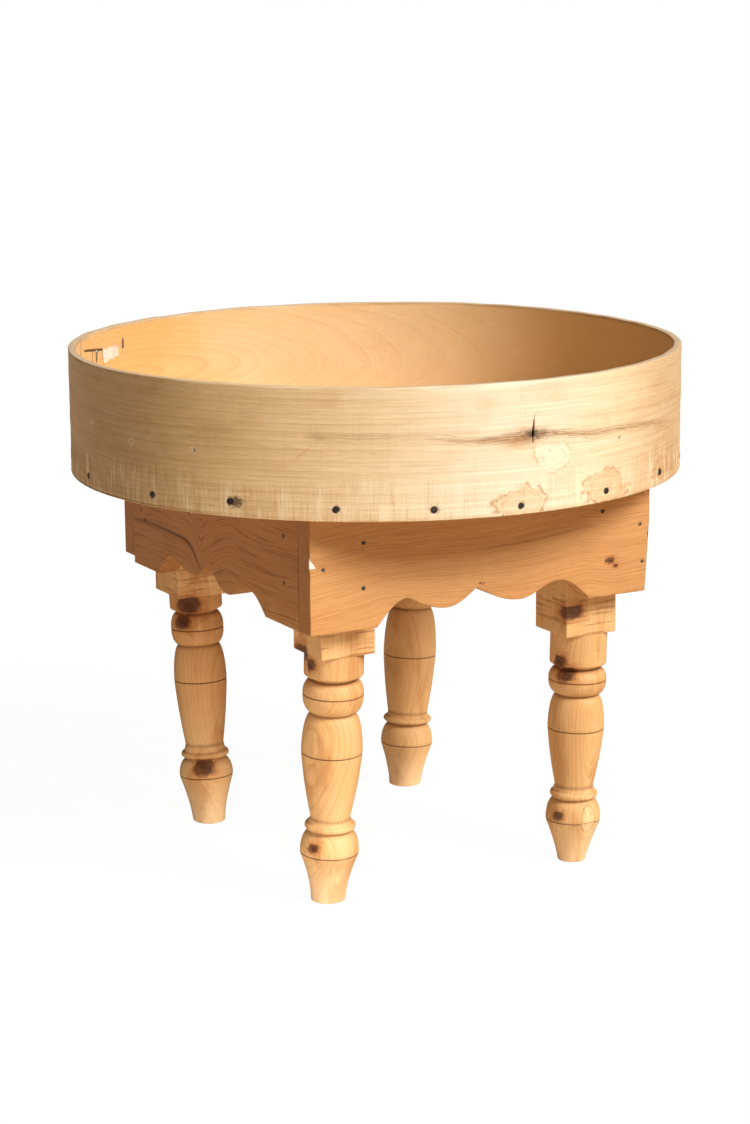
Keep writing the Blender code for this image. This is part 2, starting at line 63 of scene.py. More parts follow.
# %% Camera
LENS = 92.15                      # mm, on a sensor whose long side is 36 mm
VIEW_TURN = math.radians(-28.64)  # round the mold, from straight in front of it
VIEW_DISTANCE = 2.8272
VIEW_HEIGHT = 0.9159
VIEW_TILT = math.radians(12.49)   # downwards
VIEW_ROLL = math.radians(-0.486)
VIEW_SIDEWAYS = math.radians(0.03)


def placed(name, data):
    """A new object standing in the scene."""
    made = bpy.data.objects.new(name, data)
    bpy.context.scene.collection.objects.link(made)
    return made


def set_up_camera():
    """A camera on its tripod, aimed a little down at the tray."""
    turn = VIEW_TURN + VIEW_SIDEWAYS
    flat_right = Vector((math.cos(turn), math.sin(turn), 0))
    ahead = Vector((-math.sin(turn) * math.cos(VIEW_TILT), math.cos(turn) * math.cos(VIEW_TILT),
                    -math.sin(VIEW_TILT)))
    flat_up = flat_right.cross(ahead)
    right = flat_right * math.cos(VIEW_ROLL) + flat_up * math.sin(VIEW_ROLL)
    up = flat_up * math.cos(VIEW_ROLL) - flat_right * math.sin(VIEW_ROLL)
    camera = placed("camera", bpy.data.cameras.new("camera"))
    camera.data.lens = LENS
    camera.matrix_world = Matrix((right, up, -ahead)).transposed().to_4x4()
    camera.location = (math.sin(VIEW_TURN) * VIEW_DISTANCE, -math.cos(VIEW_TURN) * VIEW_DISTANCE,
                       VIEW_HEIGHT)
    bpy.context.scene.camera = camera
    return camera


camera = set_up_camera()
print("camera at", tuple(round(c, 3) for c in camera.location))

# %% [markdown]
# ## Wiring a material
# A wood material is a long chain of small sums.  A helper class keeps it readable: every method
# adds one node, feeds it and hands back its output, so a recipe reads like arithmetic.

# %% A helper that wires nodes


class Recipe:
    """Adds nodes to one tree, each fed with sockets or plain values.
    A wood keeps the colour, height and roughness laid on so far."""

    def __init__(self, tree):
        self.tree = tree
        self.colour = self.height = self.rough = None
        tree.nodes.clear()

    def node(self, kind, **settings):
        made = self.tree.nodes.new(kind)
        for key, value in settings.items():
            setattr(made, key, value)
        return made

    def feed(self, socket, value):
        if isinstance(value, bpy.types.NodeSocket):
            self.tree.links.new(value, socket)
        elif isinstance(value, (tuple, list)) and socket.type == "RGBA" and len(value) == 3:
            socket.default_value = (*value, 1.0)
        else:
            socket.default_value = value

    def sum(self, operation, *values, clamp=False):
        """One Math node: ADD, MULTIPLY, POWER and so on."""
        made = self.node("ShaderNodeMath", operation=operation, use_clamp=clamp)
        for socket, value in zip(made.inputs, values):
            self.feed(socket, value)
        return made.outputs[0]

    def vector(self, operation, *values):
        """One Vector Math node."""
        made = self.node("ShaderNodeVectorMath", operation=operation)
        for socket, value in zip(made.inputs, values):
            self.feed(socket, value)
        return made.outputs["Value"] if operation in ("LENGTH", "DOT_PRODUCT") else made.outputs[0]

    def fact(self, name, output="Vector"):
        """What the maker stored on the mesh under a name."""
        return self.node("ShaderNodeAttribute", attribute_name=name).outputs[output]

    def parts(self, vector):
        return self.node_with("ShaderNodeSeparateXYZ", Vector=vector).outputs

    def node_with(self, kind, **inputs):
        made = self.node(kind)
        for key, value in inputs.items():
            self.feed(made.inputs[key], value)
        return made

    def noise(self, where, stretch, detail=3.0, rough=0.55, shift=0.0):
        """Cloudy unevenness from 0 to 1; stretch is how many clouds there are per metre."""
        scaled = self.vector("MULTIPLY_ADD", where, tuple(stretch), (shift, shift * 0.7, shift * 1.3))
        made = self.node_with("ShaderNodeTexNoise", Vector=scaled, Scale=1.0, Detail=detail,
                              Roughness=rough)
        return made.outputs["Fac"]

    def ramp(self, value, low, high, start=0.0, end=1.0):
        """Runs smoothly from start to end as the value goes from low to high."""
        made = self.node("ShaderNodeMapRange", interpolation_type="SMOOTHSTEP")
        for key, given in (("Value", value), ("From Min", low), ("From Max", high),
                           ("To Min", start), ("To Max", end)):
            self.feed(made.inputs[key], given)
        return made.outputs["Result"]

    def paint(self, share, below, above, mode="MIX"):
        """Lays one colour over another."""
        made = self.node("ShaderNodeMix", data_type="RGBA", blend_type=mode)
        self.feed(made.inputs[0], share)
        self.feed(made.inputs[6], below)
        self.feed(made.inputs[7], above)
        return made.outputs[2]

    def cover(self, new, *shares):
        """Paints a new colour over the old one, by the product of the shares."""
        self.colour = self.paint(self.times(*shares), self.colour, new)

    def stain(self, tint, *shares):
        """Darkens the old colour by a tint, by the product of the shares."""
        self.colour = self.paint(self.times(*shares), self.colour, tint, "MULTIPLY")

    def lift(self, *shares):
        """Raises the surface by the product of the shares."""
        self.height = self.plus(self.height, self.times(*shares))

    def times(self, *values):
        product = values[0]
        for value in values[1:]:
            product = self.sum("MULTIPLY", product, value)
        return product

    def plus(self, *values):
        total = values[0]
        for value in values[1:]:
            total = self.sum("ADD", total, value)
        return total

    def sway(self, noise, size):
        """A noise made to swing to both sides of nothing."""
        return self.times(self.plus(noise, -0.5), size)

    def bell(self, distance, width, middle=0.0):
        """1 where the distance is at the middle, fading to 0 over a width."""
        if middle:
            distance = self.plus(distance, -middle)
        share = self.sum("DIVIDE", distance, width)
        return self.sum("EXPONENT", self.times(self.sum("MULTIPLY", share, share), -1.0))

    def surface(self, colour, rough, height=None, relief=0.0001, strength=1.0, **more):
        """The end of a material: colour, roughness and, where there is a height, a bump."""
        shader = self.node("ShaderNodeBsdfPrincipled")
        inputs = {"Base Color": colour, "Roughness": rough, **more}
        if height:
            inputs["Normal"] = self.node_with("ShaderNodeBump", Strength=strength,
                                              Distance=relief, Height=height).outputs[0]
        for key, value in inputs.items():
            self.feed(shader.inputs[key], value)
        self.finish(shader.outputs[0])

    def finish(self, shader, kind="ShaderNodeOutputMaterial"):
        self.feed(self.node(kind).inputs["Surface"], shader)


def new_material(name):
    made = bpy.data.materials.new(name)
    made.use_nodes = True
    return made, Recipe(made.node_tree)


print("recipes ready")

# %% [markdown]
# ## Light and floor
# One broad lamp stands high on the right in front, as the hoop's shadow on the front apron
# shows.  A bright pale floor and a dim warm room fill the shadows.  The floor looks nearly white
# to the eye, but gives the wood less light than a white sheet would, because a studio is dark
# beyond the sweep.

# %% Lamp, room and floor
KEY_TURN = math.radians(23)       # to the right of straight in front
KEY_HEIGHT = math.radians(39)
KEY_STRENGTH = 4.1
KEY_SOFTNESS = math.radians(24)
KEY_COLOUR = (1.0, 0.965, 0.90)
ROOM_LIGHT = (0.13, 0.10, 0.075)
FLOOR_BOUNCE = (0.80, 0.66, 0.50)
FLOOR_SIZE = 60.0
FLOOR_SHEEN = 0.975               # share of the floor's white that no shadow dims
LOW_LAMP_PLACE = Vector((-0.95, -1.05, 0.10))
LOW_LAMP_AIM = Vector((-0.10, 0.0, 0.03))
LOW_LAMP_SIZE = 0.35
LOW_LAMP_WATTS = 0.42
LOW_LAMP_SPREAD = math.radians(30)


def set_up_light():
    lamp = placed("key lamp", bpy.data.lights.new("key lamp", "SUN"))
    lamp.data.energy = KEY_STRENGTH
    lamp.data.angle = KEY_SOFTNESS
    lamp.data.color = KEY_COLOUR
    towards = Vector((math.sin(KEY_TURN) * math.cos(KEY_HEIGHT),
                      -math.cos(KEY_TURN) * math.cos(KEY_HEIGHT), math.sin(KEY_HEIGHT)))
    lamp.rotation_euler = towards.to_track_quat("Z", "Y").to_euler()


def set_up_low_lamp():
    """A small panel near the ground that only reaches the legs."""
    lamp = placed("low lamp", bpy.data.lights.new("low lamp", "AREA"))
    lamp.data.shape = "DISK"
    lamp.data.size = LOW_LAMP_SIZE
    lamp.data.energy = LOW_LAMP_WATTS
    lamp.data.spread = LOW_LAMP_SPREAD
    lamp.location = LOW_LAMP_PLACE
    lamp.rotation_euler = (LOW_LAMP_PLACE - LOW_LAMP_AIM).to_track_quat("Z", "Y").to_euler()
    lamp.visible_camera = False
    lamp.visible_glossy = False


def seen_or_felt(recipe, seen, felt):
    """One shader for the eye and another for the light that bounces."""
    eye = recipe.node("ShaderNodeLightPath").outputs["Is Camera Ray"]
    mix = recipe.node("ShaderNodeMixShader")
    recipe.feed(mix.inputs[0], eye)
    recipe.feed(mix.inputs[1], felt)
    recipe.feed(mix.inputs[2], seen)
    return mix.outputs[0]


def set_up_room():
    room = bpy.data.worlds.new("room")
    bpy.context.scene.world = room
    room.use_nodes = True
    recipe = Recipe(room.node_tree)
    seen = recipe.node_with("ShaderNodeBackground", Color=(1, 1, 1), Strength=1.0).outputs[0]
    felt = recipe.node_with("ShaderNodeBackground", Color=ROOM_LIGHT, Strength=1.0).outputs[0]
    recipe.finish(seen_or_felt(recipe, seen, felt), "ShaderNodeOutputWorld")


def set_up_floor():
    mesh = bpy.data.meshes.new("floor")
    half = FLOOR_SIZE / 2
    mesh.from_pydata([(-half, -half, 0), (half, -half, 0), (half, half, 0), (-half, half, 0)], [],
                     [(0, 1, 2, 3)])
    floor = placed("floor", mesh)
    white, recipe = new_material("pale floor")
    glow = recipe.node_with("ShaderNodeEmission", Color=(1, 1, 1), Strength=FLOOR_SHEEN).outputs[0]
    matt = recipe.node_with("ShaderNodeBsdfDiffuse", Color=(0.03, 0.03, 0.03)).outputs[0]
    both = recipe.node("ShaderNodeAddShader")
    recipe.feed(both.inputs[0], glow)
    recipe.feed(both.inputs[1], matt)
    felt = recipe.node_with("ShaderNodeBsdfDiffuse", Color=FLOOR_BOUNCE).outputs[0]
    recipe.finish(seen_or_felt(recipe, both.outputs[0], felt))
    mesh.materials.append(white)


set_up_light()
set_up_low_lamp()
set_up_room()
set_up_floor()
bpy.context.scene.view_settings.view_transform = "Standard"
print("lamp, room and floor stand")

# %% [markdown]
# ## Skin over a row of loops
# The hoop, the boards, the planks, the legs and the bent nails are all long pieces whose
# cross-section changes along the way.  Each is a row of loops of points, with one skin laid over
# them and both ends closed.  What the wood should know about itself is stored on the points:
# where the point lies in the board, how its grain runs, and how far the nearest knot or nail is.

# %% Skin and unevenness


def skin(name, loops, facts, smooth_angle=40):
    """One closed mesh over loops (row, point, xyz); facts are arrays of the same shape."""
    loops = np.asarray(loops, float)
    rows, count = loops.shape[:2]
    index = np.arange(rows * count).reshape(rows, count)
    beside = np.roll(index, -1, axis=1)
    quads = np.stack([index[:-1], beside[:-1], beside[1:], index[1:]], -1).reshape(-1, 4)
    faces = quads.tolist() + [index[0][::-1].tolist(), index[-1].tolist()]
    mesh = bpy.data.meshes.new(name)
    mesh.from_pydata(loops.reshape(-1, 3).tolist(), [], faces)
    for key, values in facts.items():
        values = np.asarray(values, np.float32).reshape(rows * count, -1)
        kind = "FLOAT" if values.shape[1] == 1 else "FLOAT_VECTOR"
        stored = mesh.attributes.new(key, kind, "POINT")
        stored.data.foreach_set("value" if kind == "FLOAT" else "vector", values.ravel())
    solid = bmesh.new()
    solid.from_mesh(mesh)
    bmesh.ops.recalc_face_normals(solid, faces=solid.faces)
    solid.to_mesh(mesh)
    solid.free()
    mesh.shade_smooth()
    mesh.set_sharp_from_angle(angle=math.radians(smooth_angle))
    return placed(name, mesh)


def finish_piece(piece, material, slot, *nodes):
    """Material, body and the plain pieces that this one stands for; the slot is not used."""
    if material:
        piece.data.materials.append(material)
    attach(piece, "root")
    if nodes:
        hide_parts(*nodes)
    print(f"{piece.name}: {len(piece.data.polygons)} faces, stands for {len(nodes)}")
    return piece


def uneven(points, length, seed, waves=9):
    """Smooth bumps between about -1 and 1, a given length apart, at points (..., xyz)."""
    chance = np.random.default_rng(seed)
    ways = chance.normal(size=(waves, 3))
    ways /= np.linalg.norm(ways, axis=1)[:, None]
    starts = chance.uniform(0, 2 * PI, waves)
    return np.sin(points @ ways.T * (2 * PI / length) + starts).sum(-1) / math.sqrt(waves)


FAR = 12.0                        # stands for "no mark anywhere near"
SQUASH = 0.74                     # marks are this much longer along the grain: 1 / 0.74
KNOT_REACH = 7.0                  # a knot bends the grain this many of its radii away


def to_nearest(along, height, marks):
    """Way from the nearest mark (along, height, radius) in its radii, and the distance."""
    best = np.full(along.shape, FAR)
    way = np.full(along.shape + (2,), FAR)
    for x, z, radius in marks:
        across, up = (along - x) / radius, (height - z) / radius
        distance = np.hypot(across * SQUASH, up)
        nearer = (distance < best)[..., None]
        way = np.where(nearer, np.stack([across, up], -1), way)
        best = np.minimum(best, distance)
    return np.concatenate([way, best[..., None]], -1)


def round_knots(along, height, knots):
    """How much the grain is pushed aside, as water is by a stone: up above a knot, down below."""
    push = np.zeros(along.shape)
    for x, z, radius in knots:
        across, up = along - x, height - z
        distance = np.maximum(across ** 2 + up ** 2, radius ** 2)
        fade = np.exp(-distance / (KNOT_REACH * radius) ** 2)
        push -= up * radius ** 2 / distance * fade
    return push


def refined(start, end, step, marks, offsets):
    """Even steps from start to end, with closer ones round the marks."""
    extra = [m + sign * o for m in marks for o in offsets for sign in (-1, 1)]
    values = np.concatenate([np.arange(start, end, step), [end], np.asarray(extra, float)])
    values = np.unique(np.round(values[(values >= start) & (values <= end)], 5))
    keep = np.concatenate([[True], np.diff(values) > step * 0.04])
    keep[-1] = True
    return values[keep]


print("skin and unevenness ready")

# %% [markdown]
# ## Pine
# Sawn pine shows its yearly rings as soft bands: the pale spring wood darkens slowly, then stops
# sharply at the dark autumn line.  The mesh already says how far each point is from the tree's
# middle (the third part of "grain"), so the material only has to count rings and colour them.
# Fine fibres, resin flecks and broad cloudy patches go on top, then the knots and the rust that
# iron nails leave.  Roughness and a shallow relief come from the same patterns.

# %% Pine recipe
KNOT_DARK = (0.060, 0.022, 0.012)
KNOT_RED = (0.230, 0.085, 0.038)
RUST_DARK = (0.035, 0.032, 0.036)
RING_DRIFT = 70.0                 # how often good and bad years change, per metre


def pine(name, spring, autumn, patch, ring_width, ring_strength, wobble=0.0012, relief=0.00035,
         flecks=0.25, fibre=0.16, gloss=0.52, shine=0.32, rust_reach=1.0, extra=None):
    """A pine material; extra is a function that lays a piece's own marks over it."""
    made, recipe = new_material(name)
    grain = recipe.fact("grain")
    place = recipe.fact("board")
    _, _, ring = recipe.parts(grain)
    slow = recipe.noise(grain, (5, 25, 55), detail=2)
    ring = recipe.plus(ring, recipe.sway(slow, wobble * 4))
    count = recipe.sum("DIVIDE", ring, ring_width)
    drift = recipe.node("ShaderNodeTexNoise", noise_dimensions="1D")
    recipe.feed(drift.inputs["W"], recipe.times(ring, RING_DRIFT))
    recipe.feed(drift.inputs["Scale"], 1.0)
    count = recipe.plus(count, recipe.times(drift.outputs["Fac"], 2.2))
    year = recipe.sum("FRACT", count)
    number = recipe.sum("FLOOR", count)
    own = recipe.node("ShaderNodeTexWhiteNoise", noise_dimensions="1D")
    recipe.feed(own.inputs["W"], number)
    depth = recipe.ramp(own.outputs["Value"], 0.0, 1.0, 0.35, 1.0)
    darkening = recipe.sum("POWER", year, 2.6)
    stop = recipe.ramp(year, 0.93, 1.0, 1.0, 0.0)
    late = recipe.times(darkening, stop, depth)

    fibres = recipe.noise(grain, (55, 2100, 2100), detail=4, rough=0.6)
    hairs = recipe.noise(grain, (260, 5200, 5200), detail=2, shift=3.1)
    clouds = recipe.noise(place, (9, 20, 17), detail=3, shift=1.7)
    broad = recipe.noise(grain, (3.5, 20, 60), detail=3, shift=5.2)

    recipe.colour = spring
    recipe.cover(autumn, late, ring_strength)
    recipe.stain(patch,
                 recipe.ramp(recipe.plus(recipe.times(clouds, 0.5), recipe.times(broad, 0.5)), 0.36,
                             0.66, 0.0, 0.55))
    light = recipe.ramp(fibres, 0.25, 0.75, 1.0 - fibre, 1.0 + fibre * 0.75)
    light = recipe.times(light, recipe.ramp(hairs, 0.2, 0.8, 0.965, 1.03))
    tone = recipe.node_with("ShaderNodeCombineColor", Red=light, Green=light, Blue=light).outputs[0]
    recipe.stain(tone, 1.0)
    fleck = recipe.noise(grain, (120, 900, 900), detail=1, shift=9.0)
    recipe.stain(autumn, recipe.ramp(fleck, 0.70, 0.80), flecks)

    knot = recipe.fact("knot")
    _, _, knot_reach = recipe.parts(knot)
    fuzz = recipe.noise(recipe.vector("ADD", knot, grain), (0.6, 0.9, 0.9), detail=4, rough=0.6,
                        shift=2.0)
    reach = recipe.plus(knot_reach, recipe.sway(fuzz, 1.9))
    inside = recipe.ramp(reach, 0.70, 1.25, 1.0, 0.0)
    rim = recipe.bell(reach, 0.16, 1.05)
    years = recipe.plus(recipe.times(recipe.sum("SINE", recipe.times(reach, 9.0)), 0.02), fuzz)
    heart = recipe.paint(recipe.ramp(years, 0.30, 0.58), KNOT_RED, KNOT_DARK)
    halo = recipe.ramp(reach, 0.9, 2.4, 0.70, 0.0)
    recipe.stain((0.74, 0.50, 0.33), halo)
    recipe.cover(heart, inside, 0.94)
    recipe.cover(KNOT_DARK, rim, 0.22)

    nail = recipe.fact("nail")
    _, _, nail_reach = recipe.parts(nail)
    spread = recipe.noise(recipe.vector("ADD", nail, place), (2.2, 2.2, 1.0), detail=4, shift=4.0)
    spread = recipe.sway(spread, 1.9)
    nail_reach = recipe.plus(nail_reach, spread)
    rust = recipe.ramp(nail_reach, 0.55, 1.0 + 0.8 * rust_reach, 0.85, 0.0)
    recipe.cover(RUST_DARK, rust)

    recipe.height = recipe.plus(recipe.times(late, -0.25), recipe.times(fibres, 0.55),
                                recipe.times(hairs, 0.25), recipe.times(inside, 0.3),
                                recipe.times(rim, -0.6), recipe.times(rust, -0.3))
    recipe.rough = recipe.plus(gloss, recipe.times(fibres, 0.16), recipe.times(late, -0.07),
                               recipe.times(inside, -0.10))
    if extra:
        extra(recipe, fibres)

    edge = recipe.fact("edge", "Fac")
    rubbed = recipe.times(recipe.ramp(recipe.plus(edge, recipe.times(clouds, 0.6)), 0.75, 1.35), 0.30)
    recipe.cover(recipe.paint(0.5, recipe.colour, spring), rubbed)

    recipe.surface(recipe.colour, recipe.rough, recipe.height, relief,
                   **{"Specular IOR Level": shine})
    return made


print("pine recipe ready")

# %% [markdown]
# ## The hoop
# One long thin board is steamed and bent into a ring.  Both ends are shaved thin, lapped over
# each other and clinched with two nails.  The board could be a tube with a thick wall, but then
# the lap would be lost, so it is a row of cross-sections that goes a bit more than once round:
# it starts at the inner end and finishes outside over its own start.
#
# Along the board, "turn" counts degrees from the inner end; height counts from the lower edge.

# %% Sizes of the hoop
HOOP_RADIUS = 0.300
HOOP_OVAL = 0.0022                # the ring is this much wider ...
HOOP_LONG_AXIS = -30.0            # ... along this direction, in degrees from +X
HOOP_THICKNESS = 0.0078
LAP_START = 147.0                 # where the inner end of the board shows, in degrees
LAP_LENGTH = 36.0
LAP_TIP = 0.0015
GAP = 0.0003                      # air between pieces that touch
hoop_low, hoop_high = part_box("hoop_band")
HOOP_BOTTOM = hoop_low.z
HOOP_HEIGHT = hoop_high.z - hoop_low.z
print(f"hoop: lower edge at {HOOP_BOTTOM:.3f}, {HOOP_HEIGHT * 1000:.0f} mm high")

# %% Marks on the hoop, each as (angle in degrees, height in mm, ...)
hoop_nails = []
for node in sorted(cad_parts):
    if node.startswith("hoop_nail"):
        low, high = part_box(node)
        middle = (low + high) / 2
        hoop_nails.append((math.degrees(math.atan2(middle.y, middle.x)),
                           (middle.z - HOOP_BOTTOM) * 1000))

BIG_KNOT = (-90.06, 73.1)
PALE_KNOT = (-85.9, 50.5)
PINS = ((-86.9, 55.9), (-69.7, 57.4), (-167.7, 58.0), (-152.2, 58.7), (178.3, 63.9))
STREAK = ((-131.6, 77.4, 0.25), (-124.6, 76.8, 0.35), (-111.0, 76.0, 0.25), (-103.1, 71.5, 0.7),
          (-98.6, 71.4, 1.0), (-94.8, 72.2, 1.0), (-90.1, 73.5, 1.0), (-87.8, 73.0, 1.0),
          (-77.6, 66.8, 0.9), (-69.5, 66.9, 0.85), (-54.2, 61.2, 0.6), (-42.8, 52.5, 0.0))
SLIT_BRANCH = (138.9, 88.0, 105.0)  # angle, and the heights it runs between
SLIT = ((144.75, 109.0), (136.96, 104.4), (132.7, 101.8))
TORN_PATCH = (-143.9, 14.2, 8.5, 5.6)
HALO = (-108.5, 10.5, 9.0, 6.5)
WATER_STAINS = ((-92.4, 9.0, 27.0, 16.0), (-73.0, 14.0, 30.0, 16.0), (-54.2, 17.0, 20.0, 11.0))


def hoop_walls(turn):
    """Inside and outside radius of the bent board, turn degrees after its inner end."""
    swell = HOOP_OVAL * np.cos(np.radians(2 * (LAP_START - turn - HOOP_LONG_AXIS)))
    inner = HOOP_RADIUS - HOOP_THICKNESS + swell
    outer = HOOP_RADIUS + swell
    first = np.clip(turn / LAP_LENGTH, 0, 1)
    last = np.clip((turn - 360) / LAP_LENGTH, 0, 1)
    starting = turn < LAP_LENGTH
    inside = np.where(starting, inner - (1 - first) * (LAP_TIP + GAP),
                      inner + last * (HOOP_THICKNESS + GAP))
    outside = np.where(starting, inner + first * HOOP_THICKNESS - (1 - first) * GAP,
                       outer + np.where(turn > 360, last * (LAP_TIP + GAP), 0))
    return inside, outside


def wall_at(turn, side):
    """Radius of the inside (0) or the outside (1) at one turn."""
    return float(hoop_walls(np.array([turn]))[side][0])


def turns_of(angle):
    """Where along the board an angle lies; the lap has two answers."""
    turn = (LAP_START - angle) % 360
    return [turn, turn + 360] if turn < LAP_LENGTH else [turn]


def arc(turn):
    """Length along the board in metres."""
    return np.radians(turn) * HOOP_RADIUS


def run_to(angle):
    """Length along the board to where an angle first comes."""
    return arc(turns_of(angle)[0])


print(len(hoop_nails), "nails round the hoop")

# %% [markdown]
# ### The hoop's cross-section
# A loop of points runs up the outside, over the rounded rim, down the inside and back under the
# lower edge.  The rows are closer together where nails, knots and the split need them.

# %% Cross-section and shape of the hoop


def wall_template():
    """Points round the wall: side (0 outside, 1 inside), inset and lift in corner radii, height."""
    outer_rows = refined(0.0035, HOOP_HEIGHT - 0.0035, 0.0042, [0.011, 0.0735, 0.0570],
                         np.arange(0, 0.0085, 0.0009))
    inner_rows = refined(0.0035, HOOP_HEIGHT - 0.0035, 0.0055, [0.105], np.arange(0, 0.007, 0.0008))
    round_over = np.radians([0, 25, 50, 72, 90])
    points = [(0, 1 - math.sin(a), 0.0, 1 - math.cos(a)) for a in round_over[::-1]]
    points += [(0, 0.0, z, 0.0) for z in outer_rows]
    points += [(0, 1 - math.cos(a), HOOP_HEIGHT, math.sin(a) - 1) for a in round_over]
    points += [(0.5, 0.0, HOOP_HEIGHT, 0.0)]
    points += [(1, 1 - math.cos(a), HOOP_HEIGHT, math.sin(a) - 1) for a in round_over[::-1]]
    points += [(1, 0.0, z, 0.0) for z in inner_rows[::-1]]
    points += [(1, 1 - math.sin(a), 0.0, 1 - math.cos(a)) for a in round_over]
    points += [(0.5, 0.0, 0.0, 0.0)]
    return np.array(points).T


def pit(along, height, x, z, radius, deep):
    """A round dent with a soft edge."""
    reach = np.hypot(along - x, height - z) / radius
    return deep * np.clip(1.35 - reach, 0, 0.35) / 0.35


def outside_relief(along, height):
    """How far the outside stands out of its even curve, in metres."""
    place = np.stack([along, height * 2.2, 0 * along], -1)
    relief = uneven(place, 0.085, 1) * 0.00022 + uneven(place, 0.030, 2) * 0.00008
    for angle, z in hoop_nails:
        for t in turns_of(angle):
            relief -= pit(along, height, arc(t), z * MM, 0.0030, 0.00075)
    for angle, z in PINS:
        relief -= pit(along, height, run_to(angle), z * MM, 0.0010, 0.0008)
    knot_x, knot_z = run_to(BIG_KNOT[0]), BIG_KNOT[1] * MM
    reach = np.abs(along - knot_x - (knot_z - height) * 0.06)
    rise = (height - knot_z) / 0.013
    open_width = 0.0011 * np.clip(1 - np.abs(rise - 0.25) ** 1.5, 0, 1)
    relief -= 0.0032 * np.clip(1.2 - reach / np.maximum(open_width, 1e-5), 0, 1) * (open_width > 1e-5)
    relief -= 0.0007 * np.exp(-((along - knot_x) / 0.012) ** 2 - ((height - knot_z) / 0.006) ** 2)
    pale_x, pale_z = run_to(PALE_KNOT[0]), PALE_KNOT[1] * MM
    relief += 0.0009 * np.exp(-((along - pale_x) / 0.017) ** 4 - ((height - pale_z) / 0.011) ** 4)
    return relief


def inside_relief(along, height, turn):
    """How far the inside stands out of its even curve, towards the middle of the tray."""
    place = np.stack([along, height * 2.0, 0 * along + 5], -1)
    relief = uneven(place, 0.09, 3) * 0.0002 + uneven(place, 0.022, 4) * 0.00006
    turns = [LAP_START - a for a, _ in SLIT]
    middle = np.interp(turn, turns, [z * MM for _, z in SLIT])
    ends = np.clip((turn - turns[0]) / 1.5, 0, 1) * np.clip((turns[-1] - turn) / 1.5, 0, 1)
    off = np.abs(height - middle) / np.maximum(0.0010 * ends, 1e-5)
    return relief - 0.0011 * np.clip(1.4 - off, 0, 1) * (ends > 0)


def rim_height(turn):
    """The rim isn't quite level, and it is nicked and fuzzy in places."""
    angle = np.radians(LAP_START - turn)
    place = np.stack([np.cos(angle), np.sin(angle), 0 * angle], -1) * HOOP_RADIUS
    return uneven(place, 0.26, 6) * 0.0005 + uneven(place, 0.045, 7) * 0.00022


print(f"{wall_template().shape[1]} points round the wall")

# %% [markdown]
# ### The hoop's figure
# On the outside the rings run level and part round the knots.  On the inside the saw ran
# closer to the tree's middle at the lap than at the back, so the rings close in long flames.

# %% Grain of the hoop
FLAME_HEIGHT = 64.0               # mm: middle line of the flames
FLAME_DEPTHS = ((0.0, 2.0), (0.14, 6.0), (0.30, 34.0), (0.42, 62.0), (0.60, 92.0), (1.9, 110.0))


def hoop_rings(along, height, inside):
    """Distance from the tree's middle as the rings show it, in metres."""
    knots = [(run_to(BIG_KNOT[0]), BIG_KNOT[1] * MM, 0.011),
             (run_to(PALE_KNOT[0]), PALE_KNOT[1] * MM, 0.0135)]
    level = height + round_knots(along, height, knots)
    place = np.stack([along * 0.35, height * 1.2, 0 * along], -1)
    level = level + uneven(place, 0.10, 8) * 0.0035
    runs, depths = np.array(FLAME_DEPTHS).T
    deep = np.interp(along, runs, depths) * MM
    flame = np.hypot(height - FLAME_HEIGHT * MM, deep) + uneven(place, 0.06, 9) * 0.0016
    return np.where(inside, flame, level)


def make_hoop():
    """The bent board with everything the wood should know about itself."""
    nail_turns = [t for a, _ in hoop_nails for t in turns_of(a)]
    pin_turns = [t for a, _ in PINS for t in turns_of(a)]
    offsets = (0.0, 0.16, 0.32, 0.44, 0.54, 0.64, 0.78, 0.95)
    turns = refined(0, 360 + LAP_LENGTH, 1.25, nail_turns, offsets)
    big = turns_of(BIG_KNOT[0])[0]
    fine = [big + d for d in (-2.2, -1.6, -1.1, -0.75, -0.45, -0.3, -0.2, -0.13, -0.07, 0,
                              0.07, 0.13, 0.2, 0.3, 0.45, 0.75, 1.1, 1.6, 2.2, 2.8)]
    fine += [t + d for t in pin_turns for d in (-0.25, -0.12, 0, 0.12, 0.25)]
    fine += list(np.arange(2.0, 14.8, 0.5))
    turns = np.unique(np.round(np.concatenate([turns, fine]), 4))
    turns = turns[np.concatenate([[True], np.diff(turns) > 0.035])]
    side, inset, level, lift = wall_template()
    turn, side, inset, level, lift = np.broadcast_arrays(turns[:, None], side, inset, level, lift)
    inner, outer = hoop_walls(turn)
    corner = np.minimum(0.0011, (outer - inner) * 0.35)
    height = level + lift * corner + rim_height(turn) * (level / HOOP_HEIGHT)
    along = arc(turn)
    lapped_in = np.clip(1 - (turn - LAP_LENGTH) / 1.5, 0, 1)       # outside hidden by the lap
    lapped_out = np.clip((turn - 358.5) / 1.5, 0, 1)               # inside hidden by the lap
    out_by = outside_relief(along, height) * (side == 0) * (inset == 0) * (1 - lapped_in)
    in_by = inside_relief(along, height, turn) * (side == 1) * (inset == 0) * (1 - lapped_out)
    radius = outer * (1 - side) + inner * side
    radius = radius + np.where(side == 0, -inset, np.where(side == 1, inset, 0)) * corner
    radius = radius + out_by - in_by
    angle = np.radians(LAP_START - turn)
    loops = np.stack([radius * np.cos(angle), radius * np.sin(angle), HOOP_BOTTOM + height], -1)
    return skin("hoop", loops, hoop_facts(turn, along, height, radius, outer, side, inset, level))


